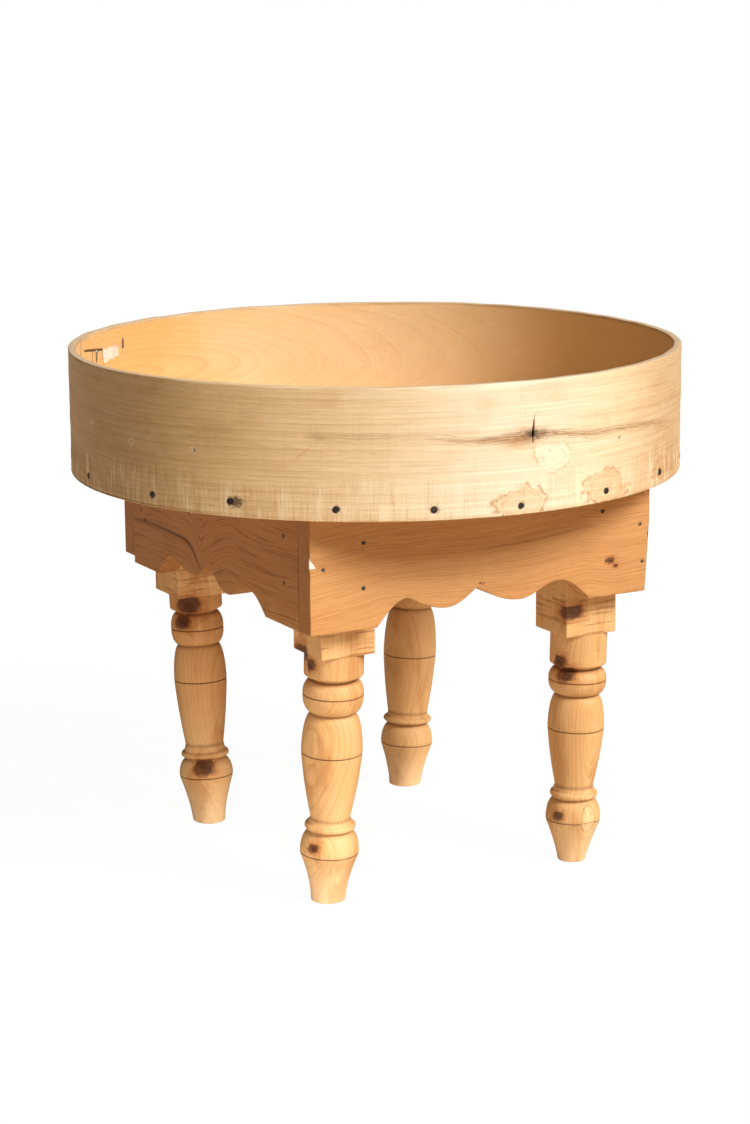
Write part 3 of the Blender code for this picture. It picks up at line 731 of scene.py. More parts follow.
def hoop_facts(turn, along, height, radius, outer, side, inset, level):
    """Grain, knots, nails, stains and streaks at every point of the hoop."""
    depth = outer - radius
    rings = hoop_rings(along, height, side == 1)
    nails = [(arc(t), z * MM, 0.0029) for a, z in hoop_nails for t in turns_of(a)]
    knots = [(run_to(BIG_KNOT[0]), BIG_KNOT[1] * MM, 0.0030)]
    knots += [(run_to(a), z * MM, 0.0011) for a, z in PINS[:2]]
    knots += [(run_to(a), z * MM, 0.0019) for a, z in PINS[2:]]
    away = (side > 0.25) * 1e3
    pale = ((*PALE_KNOT, 22.0, 13.5), *((*pin, 5.5, 4.5) for pin in PINS[2:]))
    ovals = {"stain": WATER_STAINS, "pale": pale, "torn": (TORN_PATCH,), "halo": (HALO,)}
    return {
        "grain": np.stack([along, depth, rings], -1),
        "board": np.stack([along, depth, height], -1),
        "knot": to_nearest(along, height, knots) + away[..., None],
        "nail": to_nearest(along, height, nails) + away[..., None],
        **{key: oval_distance(along, height, [(run_to(a), *rest) for a, *rest in marks]) + away
           for key, marks in ovals.items()},
        "streak": streak_facts(turn, height, side),
        "pencil": pencil_facts(along, height) + away[..., None],
        "edge": (inset > 0.2) * 1.0,
        "slit": slit_facts(turn, height, side),
        "rim": ((level >= HOOP_HEIGHT - 1e-6) & (inset > 0.6)
                | (side == 0.5) & (level > 0.01)) * 1.0,
        "inside": np.clip(side, 0, 1) * (level < HOOP_HEIGHT - 1e-6),
    }


def slit_facts(turn, height, side):
    """Height above the split inside the lap in mm; its upright branch counts as well."""
    turns = [LAP_START - a for a, _ in SLIT]
    middle = np.interp(turn, turns, [z for _, z in SLIT])
    off = np.abs(height * 1000 - middle)
    off = np.where((turn > turns[0]) & (turn < turns[-1]), off, FAR)
    aside = np.abs(arc(turn - (LAP_START - SLIT_BRANCH[0]))) * 1000
    branch = np.where((height * 1000 > SLIT_BRANCH[1]) & (height * 1000 < SLIT_BRANCH[2]), aside, FAR)
    return np.where(side == 1, np.minimum(off, branch), FAR)


def oval_distance(along, height, ovals):
    """Distance from the nearest oval's middle, 1 on its outline; sizes are in mm."""
    nearest = np.full(along.shape, FAR)
    for x, z, half_width, half_height in ovals:
        across, up = (along - x) / (half_width * MM), (height - z * MM) / (half_height * MM)
        nearest = np.minimum(nearest, np.hypot(across, up))
    return nearest


def streak_facts(turn, height, side):
    """Height above the brown streak in mm, and how strong the streak is there."""
    turns, heights, strengths = np.array([(turns_of(a)[0], z, s) for a, z, s in STREAK[::-1]]).T
    middle = np.interp(turn, turns, heights)
    strength = np.interp(turn, turns, strengths)
    outside = (side == 0) * (turn > turns[0]) * (turn < turns[-1])
    big = turns_of(BIG_KNOT[0])[0]
    return np.stack([height * 1000 - middle, strength * outside, arc(turn - big) * 1000], -1)


PENCIL = ((-132.5, 57.0), (-129.6, 70.0))


def pencil_facts(along, height):
    """Place along and across a short red pencil stroke, in its own lengths and mm."""
    start, end = np.array([(run_to(a), z * MM) for a, z in PENCIL])
    way = end - start
    length = float(np.hypot(*way))
    way = way / length
    x, z = along - start[0], height - start[1]
    return np.stack([(x * way[0] + z * way[1]) / length, (x * way[1] - z * way[0]) * 1000, 0 * x], -1)


hoop = make_hoop()
print("hoop rim", round(max(v.co.z for v in hoop.data.vertices), 4))

# %% [markdown]
# ### The hoop's own marks
# The outside is raw from the saw: fuzzy upright ridges near the lower edge, water stains with
# brown outlines round the right-hand nails, a smoky streak through the big knot and a red pencil
# stroke.  The inside has gone orange with whey and age, and the rim is paler.

# %% Hoop material
STAIN_BROWN = (0.52, 0.24, 0.075)
STREAK_BROWN = (0.44, 0.24, 0.105)
STREAK_LINE = (0.29, 0.14, 0.058)
STREAK_LINES = ((-3.4, 0.45, 0.5), (-1.6, 0.45, 0.7), (0.4, 0.5, 0.85), (2.2, 0.4, 0.6),
                (4.2, 0.45, 0.4))  # mm below the middle, half width in mm, darkness
SMOKE = (0.045, 0.030, 0.024)


def hoop_tones(recipe, place, run, inside, outside):
    """Broad tones: the orange inside, the duller ends, painted shade and light, and a painted highlight
    across the front.
    """
    aged = recipe.noise(place, (7, 10, 14), detail=4, shift=11.0)
    by_lap = recipe.paint(recipe.ramp(aged, 0.3, 0.7), (0.97, 0.82, 0.62), (0.92, 0.70, 0.42))
    further = recipe.paint(recipe.ramp(aged, 0.3, 0.7), (1.0, 0.97, 1.0), (1.0, 0.88, 0.74))
    tint = recipe.paint(recipe.ramp(run, 0.16, 0.34), by_lap, further)
    recipe.cover((0.83, 0.60, 0.33), inside, 0.45)
    recipe.stain(tint, inside)
    # painted shade: the left part of the outside, turned away from the lamp, is darkened
    painted_shade_left_side = recipe.times(recipe.ramp(recipe.plus(run, recipe.times(aged, 0.10)), 1.56, 1.74), outside)
    recipe.stain((0.66, 0.62, 0.58), painted_shade_left_side)
    # painted highlight: a paler band across the front of the outside, where the lamp's broad gloss
    # falls
    painted_highlight_band = recipe.times(recipe.bell(run, 0.13, 1.26), outside)
    recipe.cover((0.92, 0.81, 0.65), painted_highlight_band, 0.72)
    duller = recipe.times(recipe.ramp(recipe.plus(run, recipe.times(aged, -0.10)), 1.12, 0.98), outside)
    recipe.stain((0.79, 0.75, 0.74), duller)
    # painted light: the inside at the back right is brightened and warmed where the lamp reaches it
    painted_light_inside = recipe.times(recipe.bell(run, 0.20, 0.62), inside)
    recipe.cover((1.0, 0.72, 0.40), painted_light_inside, 0.9)
    speckle = recipe.noise(place, (240, 60, 330), detail=3, shift=27.0)
    chatter = recipe.times(recipe.ramp(speckle, 0.56, 0.68), inside, recipe.ramp(run, 0.36, 0.46))
    recipe.cover((1.0, 0.84, 0.58), chatter, 0.30)
    mottle = recipe.noise(place, (16, 10, 34), detail=4, rough=0.6, shift=61.0)
    recipe.stain((0.78, 0.62, 0.44), recipe.ramp(mottle, 0.50, 0.66), outside, 0.30)
    return painted_highlight_band


def hoop_saw(recipe, place, outside, painted_highlight_band):
    """Fuzzy upright ridges low down, level lines and pale wisps, as the saw left them."""
    _, _, level = recipe.parts(place)
    low_down = recipe.ramp(level, 0.012, 0.062, 1.0, 0.0)
    patches = recipe.noise(place, (10, 10, 14), detail=2, shift=7.0)
    sawn = recipe.times(recipe.ramp(recipe.plus(recipe.times(low_down, 0.62),
                                                recipe.times(patches, 0.75)), 0.55, 1.0), outside)
    ridges = recipe.noise(place, (480, 60, 38), detail=3, shift=21.0)
    broad = recipe.noise(place, (110, 20, 12), detail=2, shift=31.0)
    wisps = recipe.noise(place, (700, 90, 300), detail=3, shift=17.0)
    ridge = recipe.plus(recipe.times(ridges, 0.7), recipe.times(broad, 0.6))
    recipe.lift(ridge, sawn, 1.5)
    pale = recipe.times(recipe.ramp(ridge, 0.62, 0.86), sawn)
    recipe.cover((0.97, 0.83, 0.60), pale, 0.75)
    dull = recipe.times(recipe.ramp(ridge, 0.62, 0.40), sawn)
    recipe.stain((0.70, 0.56, 0.38), dull, 0.45)
    hatch = recipe.noise(place, (900, 60, 22), detail=2, shift=41.0)
    recipe.stain((0.80, 0.64, 0.44), recipe.ramp(hatch, 0.54, 0.70), outside, 0.15)
    level_lines = recipe.noise(place, (6, 60, 420), detail=4, rough=0.65, shift=51.0)
    recipe.stain((0.74, 0.55, 0.34), recipe.ramp(level_lines, 0.52, 0.68), outside, 0.27)
    # painted highlight: paler gaps between the level lines inside the painted highlight band
    painted_gap_highlight = recipe.times(recipe.ramp(level_lines, 0.46, 0.36), outside, painted_highlight_band)
    recipe.cover((1.0, 0.93, 0.80), painted_gap_highlight, 0.5)
    wisp = recipe.times(recipe.ramp(wisps, 0.66, 0.74), recipe.ramp(patches, 0.42, 0.62), outside)
    recipe.cover((0.97, 0.84, 0.62), wisp, 0.55)
    recipe.lift(wisp, 1.2)
    recipe.rough = recipe.plus(recipe.rough, recipe.times(sawn, 0.18))

# %% [markdown]
# Iron and water left rings with ragged brown outlines.  The pale knot has two of its own.

# %% Stains and the pale knot


def hoop_stains(recipe, place):
    """Brown outlines round the right-hand nails and round the pale knot."""
    reach = recipe.fact("stain", "Fac")
    ragged = recipe.noise(place, (95, 95, 95), detail=6, rough=0.62, shift=1.0)
    reach = recipe.plus(reach, recipe.sway(ragged, 1.5))
    gaps = recipe.ramp(recipe.noise(place, (85, 85, 85), detail=3, shift=8.0), 0.36, 0.54)
    line = recipe.times(recipe.bell(reach, 0.085, 1.0), gaps)
    inner_line = recipe.times(recipe.bell(reach, 0.06, 0.70), 0.35)
    tint = recipe.ramp(reach, 0.75, 1.05, 0.42, 0.0)
    recipe.stain((0.86, 0.66, 0.44), tint)
    recipe.cover(STAIN_BROWN, recipe.plus(line, inner_line), 0.80)

    lumpy = recipe.noise(place, (45, 45, 70), detail=3, shift=19.0)
    oval = recipe.plus(recipe.fact("pale", "Fac"), recipe.sway(ragged, 0.35),
                       recipe.sway(lumpy, 1.1))
    recipe.cover((1.0, 0.89, 0.70), recipe.ramp(oval, 0.6, 1.1, 0.50, 0.0))
    outline = recipe.times(recipe.plus(recipe.bell(oval, 0.05, 1.0),
                                       recipe.times(recipe.bell(oval, 0.05, 0.6), 0.5)), gaps)
    recipe.cover((0.60, 0.34, 0.14), outline, 0.60)

# %% [markdown]
# The streak is counted in mm above or below its middle line, and sideways from the big knot.

# %% The streak, the big knot and its split


def hoop_streak(recipe, place, fibres):
    """A brown band with five dark lines, smoke round the knot and the open split."""
    above, strength, sideways = recipe.parts(recipe.fact("streak"))
    straight = above
    waver = recipe.noise(place, (30, 10, 300), detail=4, shift=2.5)
    above = recipe.plus(above, recipe.sway(waver, 6.0))
    near = recipe.bell(sideways, 24.0, 9.0)
    width = recipe.plus(2.3, recipe.times(near, 4.4))
    band = recipe.times(recipe.bell(above, width), strength)
    torn = recipe.ramp(fibres, 0.34, 0.66, 1.0, 0.30)
    recipe.cover(STREAK_BROWN, band, torn, 0.95)
    for shift, thin, dark in STREAK_LINES:
        line = recipe.times(recipe.bell(recipe.plus(above, shift), thin), strength)
        recipe.cover(STREAK_LINE, line, dark)
    smudge = recipe.ramp(recipe.noise(place, (210, 50, 330), detail=5, rough=0.75, shift=6.0), 0.40,
                         0.60)
    smoke = recipe.times(recipe.bell(sideways, 13.0, -2.5), recipe.bell(straight, 6.0, -0.8))
    recipe.cover(SMOKE, smoke, smudge, 0.9)
    core = recipe.times(recipe.bell(sideways, 4.5), recipe.bell(straight, 3.2))
    recipe.cover((0.055, 0.028, 0.016), core, 0.9)
    shade = recipe.times(recipe.bell(sideways, 17.0, 16.0), recipe.bell(straight, 6.0, -5.5))
    recipe.stain((0.72, 0.50, 0.30), shade, 0.62)
    rise = recipe.sum("DIVIDE", recipe.sum("ABSOLUTE", recipe.plus(straight, -2.6)), 11.5)
    opening = recipe.sum("SUBTRACT", 1.0, recipe.sum("POWER", rise, 1.5), clamp=True)
    aside = recipe.sum("ABSOLUTE", recipe.plus(sideways, recipe.times(straight, 0.06)))
    gap = recipe.times(recipe.ramp(aside, recipe.times(opening, 0.7), recipe.plus(opening, 0.15),
                                   1.0, 0.0), recipe.ramp(opening, 0.02, 0.2))
    recipe.cover((0.008, 0.005, 0.004), gap)

# %% [markdown]
# The last marks are small.  Then the hoop's whole recipe is laid on in order.

# %% Small marks and the whole recipe


def hoop_small_marks(recipe, place):
    """A torn nail hole, a dark halo, the pencil stroke and the split inside the lap."""
    ragged_fine = recipe.noise(place, (420, 200, 620), detail=4, rough=0.7, shift=14.0)
    hole = recipe.plus(recipe.fact("torn", "Fac"), recipe.sway(ragged_fine, 2.4))
    recipe.cover((0.12, 0.072, 0.045), recipe.ramp(hole, 0.5, 1.15, 0.92, 0.0))
    recipe.lift(recipe.ramp(hole, 0.5, 1.0, -2.5, 0.0))
    rays = recipe.plus(recipe.fact("halo", "Fac"), recipe.sway(ragged_fine, 3.4))
    recipe.cover((0.34, 0.20, 0.11), recipe.ramp(rays, 0.0, 0.9, 0.65, 0.0))

    stroke_x, stroke_z, _ = recipe.parts(recipe.fact("pencil"))
    on_line = recipe.times(recipe.bell(stroke_z, 0.8), recipe.ramp(stroke_x, -0.05, 0.05),
                           recipe.ramp(stroke_x, 0.93, 1.05, 1.0, 0.0))
    grainy = recipe.ramp(recipe.noise(place, (900, 900, 900), detail=1, shift=3.0), 0.40, 0.60)
    recipe.cover((0.72, 0.16, 0.08), on_line, grainy, 0.6)

    slit = recipe.fact("slit", "Fac")
    recipe.cover((0.03, 0.017, 0.010), recipe.ramp(slit, 0.7, 1.7, 0.92, 0.0))


def hoop_marks(recipe, fibres):
    """Everything that only the hoop shows."""
    place = recipe.fact("board")
    run, _, _ = recipe.parts(place)
    inside = recipe.fact("inside", "Fac")
    outside = recipe.sum("SUBTRACT", 1.0, inside)
    painted_highlight_band = hoop_tones(recipe, place, run, inside, outside)
    hoop_saw(recipe, place, outside, painted_highlight_band)
    hoop_stains(recipe, place)
    hoop_streak(recipe, place, fibres)
    hoop_small_marks(recipe, place)
    rim = recipe.fact("rim", "Fac")
    recipe.cover((0.88, 0.69, 0.49), rim, 0.7)


hoop_pine = pine("hoop pine", (0.88, 0.66, 0.39), (0.66, 0.39, 0.16), (0.92, 0.83, 0.70),
                 ring_width=0.0052, ring_strength=0.62, wobble=0.0010, relief=0.00030, fibre=0.16,
                 flecks=0.16, gloss=0.44, shine=0.55, rust_reach=0.3, extra=hoop_marks)
finish_piece(hoop, hoop_pine, "hoop_wood", "hoop_band")

# %% [markdown]
# ## The tray's floor
# Three planks lie side by side inside the hoop.  Each is a row of cross-sections from left to
# right; their front and back edges follow the round hoop, or the straight joint between planks.

# %% Floor planks
FLOOR_SLACK = 0.0004              # air round the floor
NARROWEST = 0.004                 # a plank's tip is never narrower than this
PITH_DEPTH = 0.09                 # how far under the floor the tree's middle ran


def rectangle_loop(low, high, thickness, corner, inset, rows):
    """Rounded rectangle: up the face at depth 0, over, down the back, and under.
    Returns (height, depth, edge) arrays; low and high are the face's ends."""
    low, high = low + inset, high - inset
    front, back = inset, thickness - inset
    corner = max(corner - inset, corner * 0.15)
    up = np.linspace(low + corner, high - corner, rows)
    through = np.linspace(front + corner, back - corner, 4)[1:-1]
    steps = np.array([0, 30, 60, 90])

    def bend(z, y, turned, angles):
        """A rounded corner about the point (z, y)."""
        return [(z + corner * math.cos(a), y + corner * math.sin(a), 1)
                for a in np.radians(angles + turned)]

    loop = [(z, front, 0) for z in up] + bend(high - corner, front + corner, -90, steps[1:])
    loop += [(high, y, 0) for y in through] + bend(high - corner, back - corner, 0, steps[:-1])
    loop += [(z, back, 0) for z in up[::-1]] + bend(low + corner, back - corner, 90, steps[1:])
    loop += [(low, y, 0) for y in through[::-1]]
    return np.array(loop + bend(low + corner, front + corner, 180, steps[:-1]))


def floor_edge(across, way):
    """How far the round floor reaches in X or Y, at a given place across it."""
    reach = HOOP_RADIUS * 0.97
    for _ in range(8):
        x, y = (across, way[1] * reach) if way[1] else (way[0] * reach, across)
        turn = turns_of(math.degrees(math.atan2(y, x)))[0]
        wall = wall_at(turn, 0) - GAP - FLOOR_SLACK
        reach = math.sqrt(max(wall ** 2 - across ** 2, 1e-8))
    return (way[0] + way[1]) * reach


def make_plank(node, seed):
    low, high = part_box(node)
    seam_low, seam_high = low.y, high.y
    nearest = min(max(0.0, seam_low), seam_high)
    left, right = floor_edge(nearest, (-1, 0)), floor_edge(nearest, (1, 0))
    turns = np.linspace(-PI / 2, PI / 2, 121)
    columns = (left + right) / 2 + np.sin(turns) * ((right - left) / 2 - FLOOR_SLACK)
    loops, board, edge = [], [], []
    for x in columns:
        y_low = max(seam_low, floor_edge(x, (0, -1)))
        y_high = min(seam_high, floor_edge(x, (0, 1)))
        if y_high - y_low < NARROWEST:
            middle = (y_low + y_high) / 2
            y_low, y_high = middle - NARROWEST / 2, middle + NARROWEST / 2
        section = rectangle_loop(y_low, y_high, high.z - low.z, 0.0010, 0.0, 26)
        y, depth, rounded = section.T
        cup = ((y - (seam_low + seam_high) / 2) / 0.1) ** 2 * 0.0004
        z = high.z - depth - cup * (depth < 0.004)
        loops.append(np.stack([0 * y + x, y, z], -1))
        board.append(np.stack([0 * y + x, depth, y], -1))
        edge.append(rounded)
    board = np.array(board)
    place = board * np.array([0.3, 1, 1]) + seed
    along, depth, across = board[..., 0], board[..., 1], board[..., 2]
    rings = np.sqrt((across - 0.02 * seed) ** 2 + (PITH_DEPTH + depth) ** 2)
    rings = rings + uneven(place, 0.12, 40 + seed) * 0.003 + along * 0.006 * (-1) ** seed
    nails = [((a.x + b.x) / 2, (a.y + b.y) / 2, 0.0030)
             for a, b in (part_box(n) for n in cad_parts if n.startswith(node + "_nail"))]
    middle = (seam_low + seam_high) / 2
    knots = [(-0.11 + 0.07 * seed, middle + 0.02 * (-1) ** seed, 0.007),
             (0.15 - 0.05 * seed, middle - 0.03, 0.004)]
    away = (depth > 0.0011)[..., None] * 1e3
    facts = {
        "grain": np.stack([along, depth, rings + round_knots(along, across, knots)], -1),
        "board": board + seed * 3.0,
        "knot": to_nearest(along, across, knots) + away,
        "nail": to_nearest(along, across, nails) + away,
        "edge": np.array(edge),
    }
    return skin(node.replace("floor_plank", "floor_board"), loops, facts)


def whey_marks(recipe, _):
    """Curd and whey have turned the floor grey in blotches and rings."""
    place = recipe.node("ShaderNodeTexCoord").outputs["Object"]
    blotch = recipe.noise(place, (8, 8, 8), detail=5, rough=0.6, shift=2.0)
    recipe.stain((0.78, 0.66, 0.50), recipe.ramp(blotch, 0.42, 0.62, 0.0, 0.45))
    rings = recipe.bell(recipe.noise(place, (11, 11, 11), detail=3, shift=6.0), 0.006, 0.5)
    recipe.cover((0.45, 0.28, 0.13), rings, 0.30)


floor_pine = pine("floor pine", (0.74, 0.50, 0.26), (0.52, 0.29, 0.12), (0.88, 0.76, 0.60),
                  ring_width=0.0042, ring_strength=0.6, relief=0.0004, extra=whey_marks)
for number, node in enumerate(("floor_plank_front", "floor_plank_middle", "floor_plank_back")):
    finish_piece(make_plank(node, number), floor_pine, "floor_wood", node)

# %% [markdown]
# ## The scalloped aprons
# Each apron is a board whose lower edge was cut with a bow saw: a bay, a cusp in the middle and
# another bay.  The outline is a list of turning points with sine curves between them, and the
# board is a row of cross-sections whose lower end follows the outline.

# %% Outlines of the aprons (distance from the left end, height above the board's corner)
BOARD_LENGTH = 0.3716
BOARD_THICKNESS = 0.0225
HALF = BOARD_LENGTH / 2
FRAME_SHIFT = (0.0020, -0.0011)    # middle of the frame from the middle of the hoop
SCALLOPS = {
    "front": ((0.070, 0.0), (0.103, 0.0245), (0.145, 0.010), (0.177, 0.0255),
              (0.225, 0.0085), (0.268, 0.0220), (0.303, 0.0)),
    "left": ((0.060, 0.0), (0.094, 0.0235), (0.142, 0.0140), (0.178, 0.0325),
             (0.219, 0.0100), (0.266, 0.0240), (0.302, 0.0045)),
    "back": ((0.068, 0.0), (0.102, 0.0235), (0.147, 0.0095), (0.186, 0.0260),
             (0.224, 0.0090), (0.269, 0.0230), (0.304, 0.0)),
    "right": ((0.069, 0.0), (0.104, 0.0240), (0.146, 0.0090), (0.187, 0.0260),
              (0.226, 0.0095), (0.268, 0.0230), (0.303, 0.0)),
}
QUARTER_TURNS = {"front": 0, "right": 1, "back": 2, "left": 3}


def swift(share):
    """A bend that starts steep and ends level."""
    return np.sin(PI / 2 * share)


def slow(share):
    """A bend that starts level and ends steep."""
    return 1 - np.cos(PI / 2 * share)


def wave(share):
    """A bend that is level at both ends."""
    return (1 - np.cos(PI * share)) / 2


BENDS = (swift, swift, slow, swift, wave, slow)


def scallop(side, along):
    """Height of the lower edge above the board's corner."""
    points = SCALLOPS[side]
    rise = np.zeros_like(along)
    for (x0, z0), (x1, z1), bend in zip(points, points[1:], BENDS):
        here = (along >= x0) & (along <= x1)
        share = np.clip((along - x0) / (x1 - x0), 0, 1)
        rise = np.where(here, z0 + (z1 - z0) * bend(share), rise)
    return np.where(along > points[-1][0], points[-1][1], rise)


def to_frame(side, along, depth, height):
    """From a board seen from outside to its place in the frame."""
    turn = PI / 2 * QUARTER_TURNS[side]
    x = along - HALF
    y = depth - (HALF + BOARD_THICKNESS if side in ("front", "back") else HALF)
    return np.stack([x * math.cos(turn) - y * math.sin(turn) + FRAME_SHIFT[0],
                     x * math.sin(turn) + y * math.cos(turn) + FRAME_SHIFT[1], height + 0 * x], -1)


def from_frame(side, point):
    """Distance along a board and height of a point given in the frame."""
    turn = PI / 2 * QUARTER_TURNS[side]
    x, y = point.x - FRAME_SHIFT[0], point.y - FRAME_SHIFT[1]
    return x * math.cos(turn) + y * math.sin(turn) + HALF, point.z


print("deepest scallop", max(z for x, z in SCALLOPS["left"]) * 1000, "mm")

# %% [markdown]
# ### How each apron's grain runs
# The front board has nearly level, gently waving lines.  The left board has a dark line that
# falls into a valley and climbs over a hump.  Both are written as the height of one grain line
# along the board, and all other lines follow it.

# %% Grain of the aprons
GRAIN_LINES = {                    # (distance along, mm up or down), a smooth line through them
    "front": ((0.00, -9), (0.03, -4), (0.07, 1), (0.12, 0), (0.17, -4), (0.225, -1), (0.27, 3),
              (0.30, 7), (0.33, 1), (0.371, 2)),
    "left": ((0.00, 0), (0.067, 3), (0.0935, 2), (0.125, 1), (0.142, -4), (0.150, -13),
             (0.158, -24), (0.166, -23), (0.178, -15), (0.205, -3), (0.228, 5), (0.255, 1),
             (0.30, 0), (0.371, 3)),
    "back": ((0.00, 2), (0.09, -3), (0.19, 4), (0.28, 0), (0.371, -4)),
    "right": ((0.00, -2), (0.11, 5), (0.20, 0), (0.30, -5), (0.371, 1)),
}
APRON_KNOTS = {
    "front": ((0.327, 0.315, 0.0030), (0.333, 0.309, 0.0018), (0.322, 0.3145, 0.0012),
              (0.181, 0.3095, 0.0010), (0.1845, 0.3085, 0.0009)),
    "left": ((0.020, 0.334, 0.0016),),
    "back": ((0.26, 0.335, 0.0075), (0.09, 0.372, 0.004)),
    "right": ((0.13, 0.345, 0.006), (0.29, 0.310, 0.0035)),
}
APRON_ORDER = ("front", "left", "back", "right")
GRAIN_MIDDLE = 0.320               # the height where the grain bends most


def smooth_line(points, x):
    """A rounded line through points."""
    xs, zs = np.array(points).T
    fine = np.linspace(xs[0], xs[-1], 400)
    line = np.interp(fine, xs, zs)
    window = np.hanning(31)
    window /= window.sum()
    padded = np.pad(line, 15, mode="edge")
    return np.interp(x, fine, np.convolve(padded, window, "valid"))


def apron_rings(side, along, depth, height):
    seed = APRON_ORDER.index(side)
    shape = smooth_line(GRAIN_LINES[side], along) * MM
    fade = np.exp(-((height - GRAIN_MIDDLE) / (0.055 if side == "left" else 0.09)) ** 2)
    level = height - shape * fade + round_knots(along, height, APRON_KNOTS[side])
    place = np.stack([along * 0.4, depth, height * 1.3], -1)
    curls = uneven(place * np.array([1.0, 1.0, 1.6]), 0.028, 55 + seed) * 0.0010
    rings = level + depth * 0.45 + uneven(place, 0.07, 50 + seed) * 0.0016 + curls
    return rings * (0.72 if side == "left" else 1.0)

# %% [markdown]
# ### Building a board
# The last few cross-sections at each end shrink a little, which rounds the ends.  The right end
# of the front board has a chipped notch, and its left edge has lost a pale splinter.

# %% Apron boards
EDGE_ROUND = 0.0009
ASKEW = 0.0048                    # the front board's lower right corner is this much short
ASKEW_FROM = 0.030


def make_apron(side):
    low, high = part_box(f"apron_{side}")
    bottom, top = low.z, high.z
    seed = APRON_ORDER.index(side)
    end_gap = 0.0 if side in ("front", "back") else GAP
    start, end = end_gap, BOARD_LENGTH - end_gap
    nails = [from_frame(side, sum(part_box(n), Vector()) / 2) for n in sorted(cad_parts)
             if n.startswith(f"apron_{side}_nail")]
    marks = [mark[0] for mark in (*nails, *APRON_KNOTS[side], *SCALLOPS[side])]
    columns = refined(start + EDGE_ROUND, end - EDGE_ROUND, 0.0030, marks,
                      (0, 0.0009, 0.0018, 0.0026, 0.0034))
    rounds = [(EDGE_ROUND * (1 - math.cos(a)), EDGE_ROUND * (1 - math.sin(a)))
              for a in np.radians([0, 30, 60])]
    stations = [(start + x, inset) for x, inset in rounds] + [(x, 0.0) for x in columns]
    stations += [(end - x, inset) for x, inset in rounds[::-1]]
    sections = []
    for x, inset in stations:
        foot = bottom + float(scallop(side, np.array([x]))[0])
        sections.append(rectangle_loop(foot, top, BOARD_THICKNESS, 0.0011, inset, 40))
    sections = np.array(sections)
    along = np.array([x for x, _ in stations])[:, None] + 0 * sections[..., 0]
    height, depth, edge = sections[..., 0], sections[..., 1], sections[..., 2]
    at_end = np.array([inset > 0 for _, inset in stations])[:, None] + 0 * along
    edge = np.maximum(edge, at_end)
    place = np.stack([along, depth, height], -1)
    front = depth < 0.0003
    dents = uneven(place * np.array([1, 1, 1.6]), 0.07, 60 + seed) * 0.00016
    for x, z in nails:
        dents = dents - pit(along, height, x, z, 0.0024, 0.0005)
    if side == "front":
        along, height, dents = wear_of_front(along, height, dents, end)
    moved = depth - dents * front
    away = (depth > 0.002)[..., None] * 1e3
    facts = {
        "grain": np.stack([along, depth, apron_rings(side, along, depth, height)], -1),
        "board": place + seed * 2.0,
        "knot": to_nearest(along, height, APRON_KNOTS[side]) + away,
        "nail": to_nearest(along, height, [(x, z, 0.0020) for x, z in nails]) + away,
        "edge": edge,
        "streak": dark_line(side, along, height, depth),
        # shade: 1 on the left board, which gets painted shade, and 1 on the end loops, whose end grain
        # is darker
        "shade": np.stack([0 * along + (side == "left"), at_end, 0 * along], -1),
    }
    return skin(f"scalloped_{side}", to_frame(side, along, moved, height), facts)


def wear_of_front(along, height, dents, end):
    """The right end is cut askew and notched; the left edge has lost a splinter."""
    share = np.clip((along - (end - ASKEW_FROM)) / ASKEW_FROM, 0, 1)
    along = along - ASKEW * share * np.clip((0.350 - height) / 0.0745, 0, 1.05)
    notch = np.interp(height, (0.3283, 0.3364, 0.3442), (0.0, 0.0024, 0.0))
    along = np.where(along > end - 0.004, along - notch * (along - (end - 0.004)) / 0.004, along)
    splinter = np.clip(1 - np.hypot((along - 0.001) / 0.005, (height - 0.346) / 0.008), 0, 1)
    return along, height, dents - 0.0012 * splinter


def dark_line(side, along, height, depth):
    """Height above the board's darkest grain line in mm, and how strong it is there."""
    if side == "left":
        line = 0.3215 + smooth_line(GRAIN_LINES[side], along) * MM
        strength = np.interp(along, (0.0, 0.02, 0.09, 0.150, 0.165), (0.45, 0.6, 0.8, 1.0, 0.0))
    else:
        line = 0.345 + smooth_line(GRAIN_LINES[side], along) * MM
        strength = np.interp(along, (0.0, 0.16, 0.2, 0.30, 0.32), (0.0, 0.0, 0.25, 0.25, 0.0))
    return np.stack([(height - line) * 1000, strength * (depth < 0.002), 0 * along], -1)


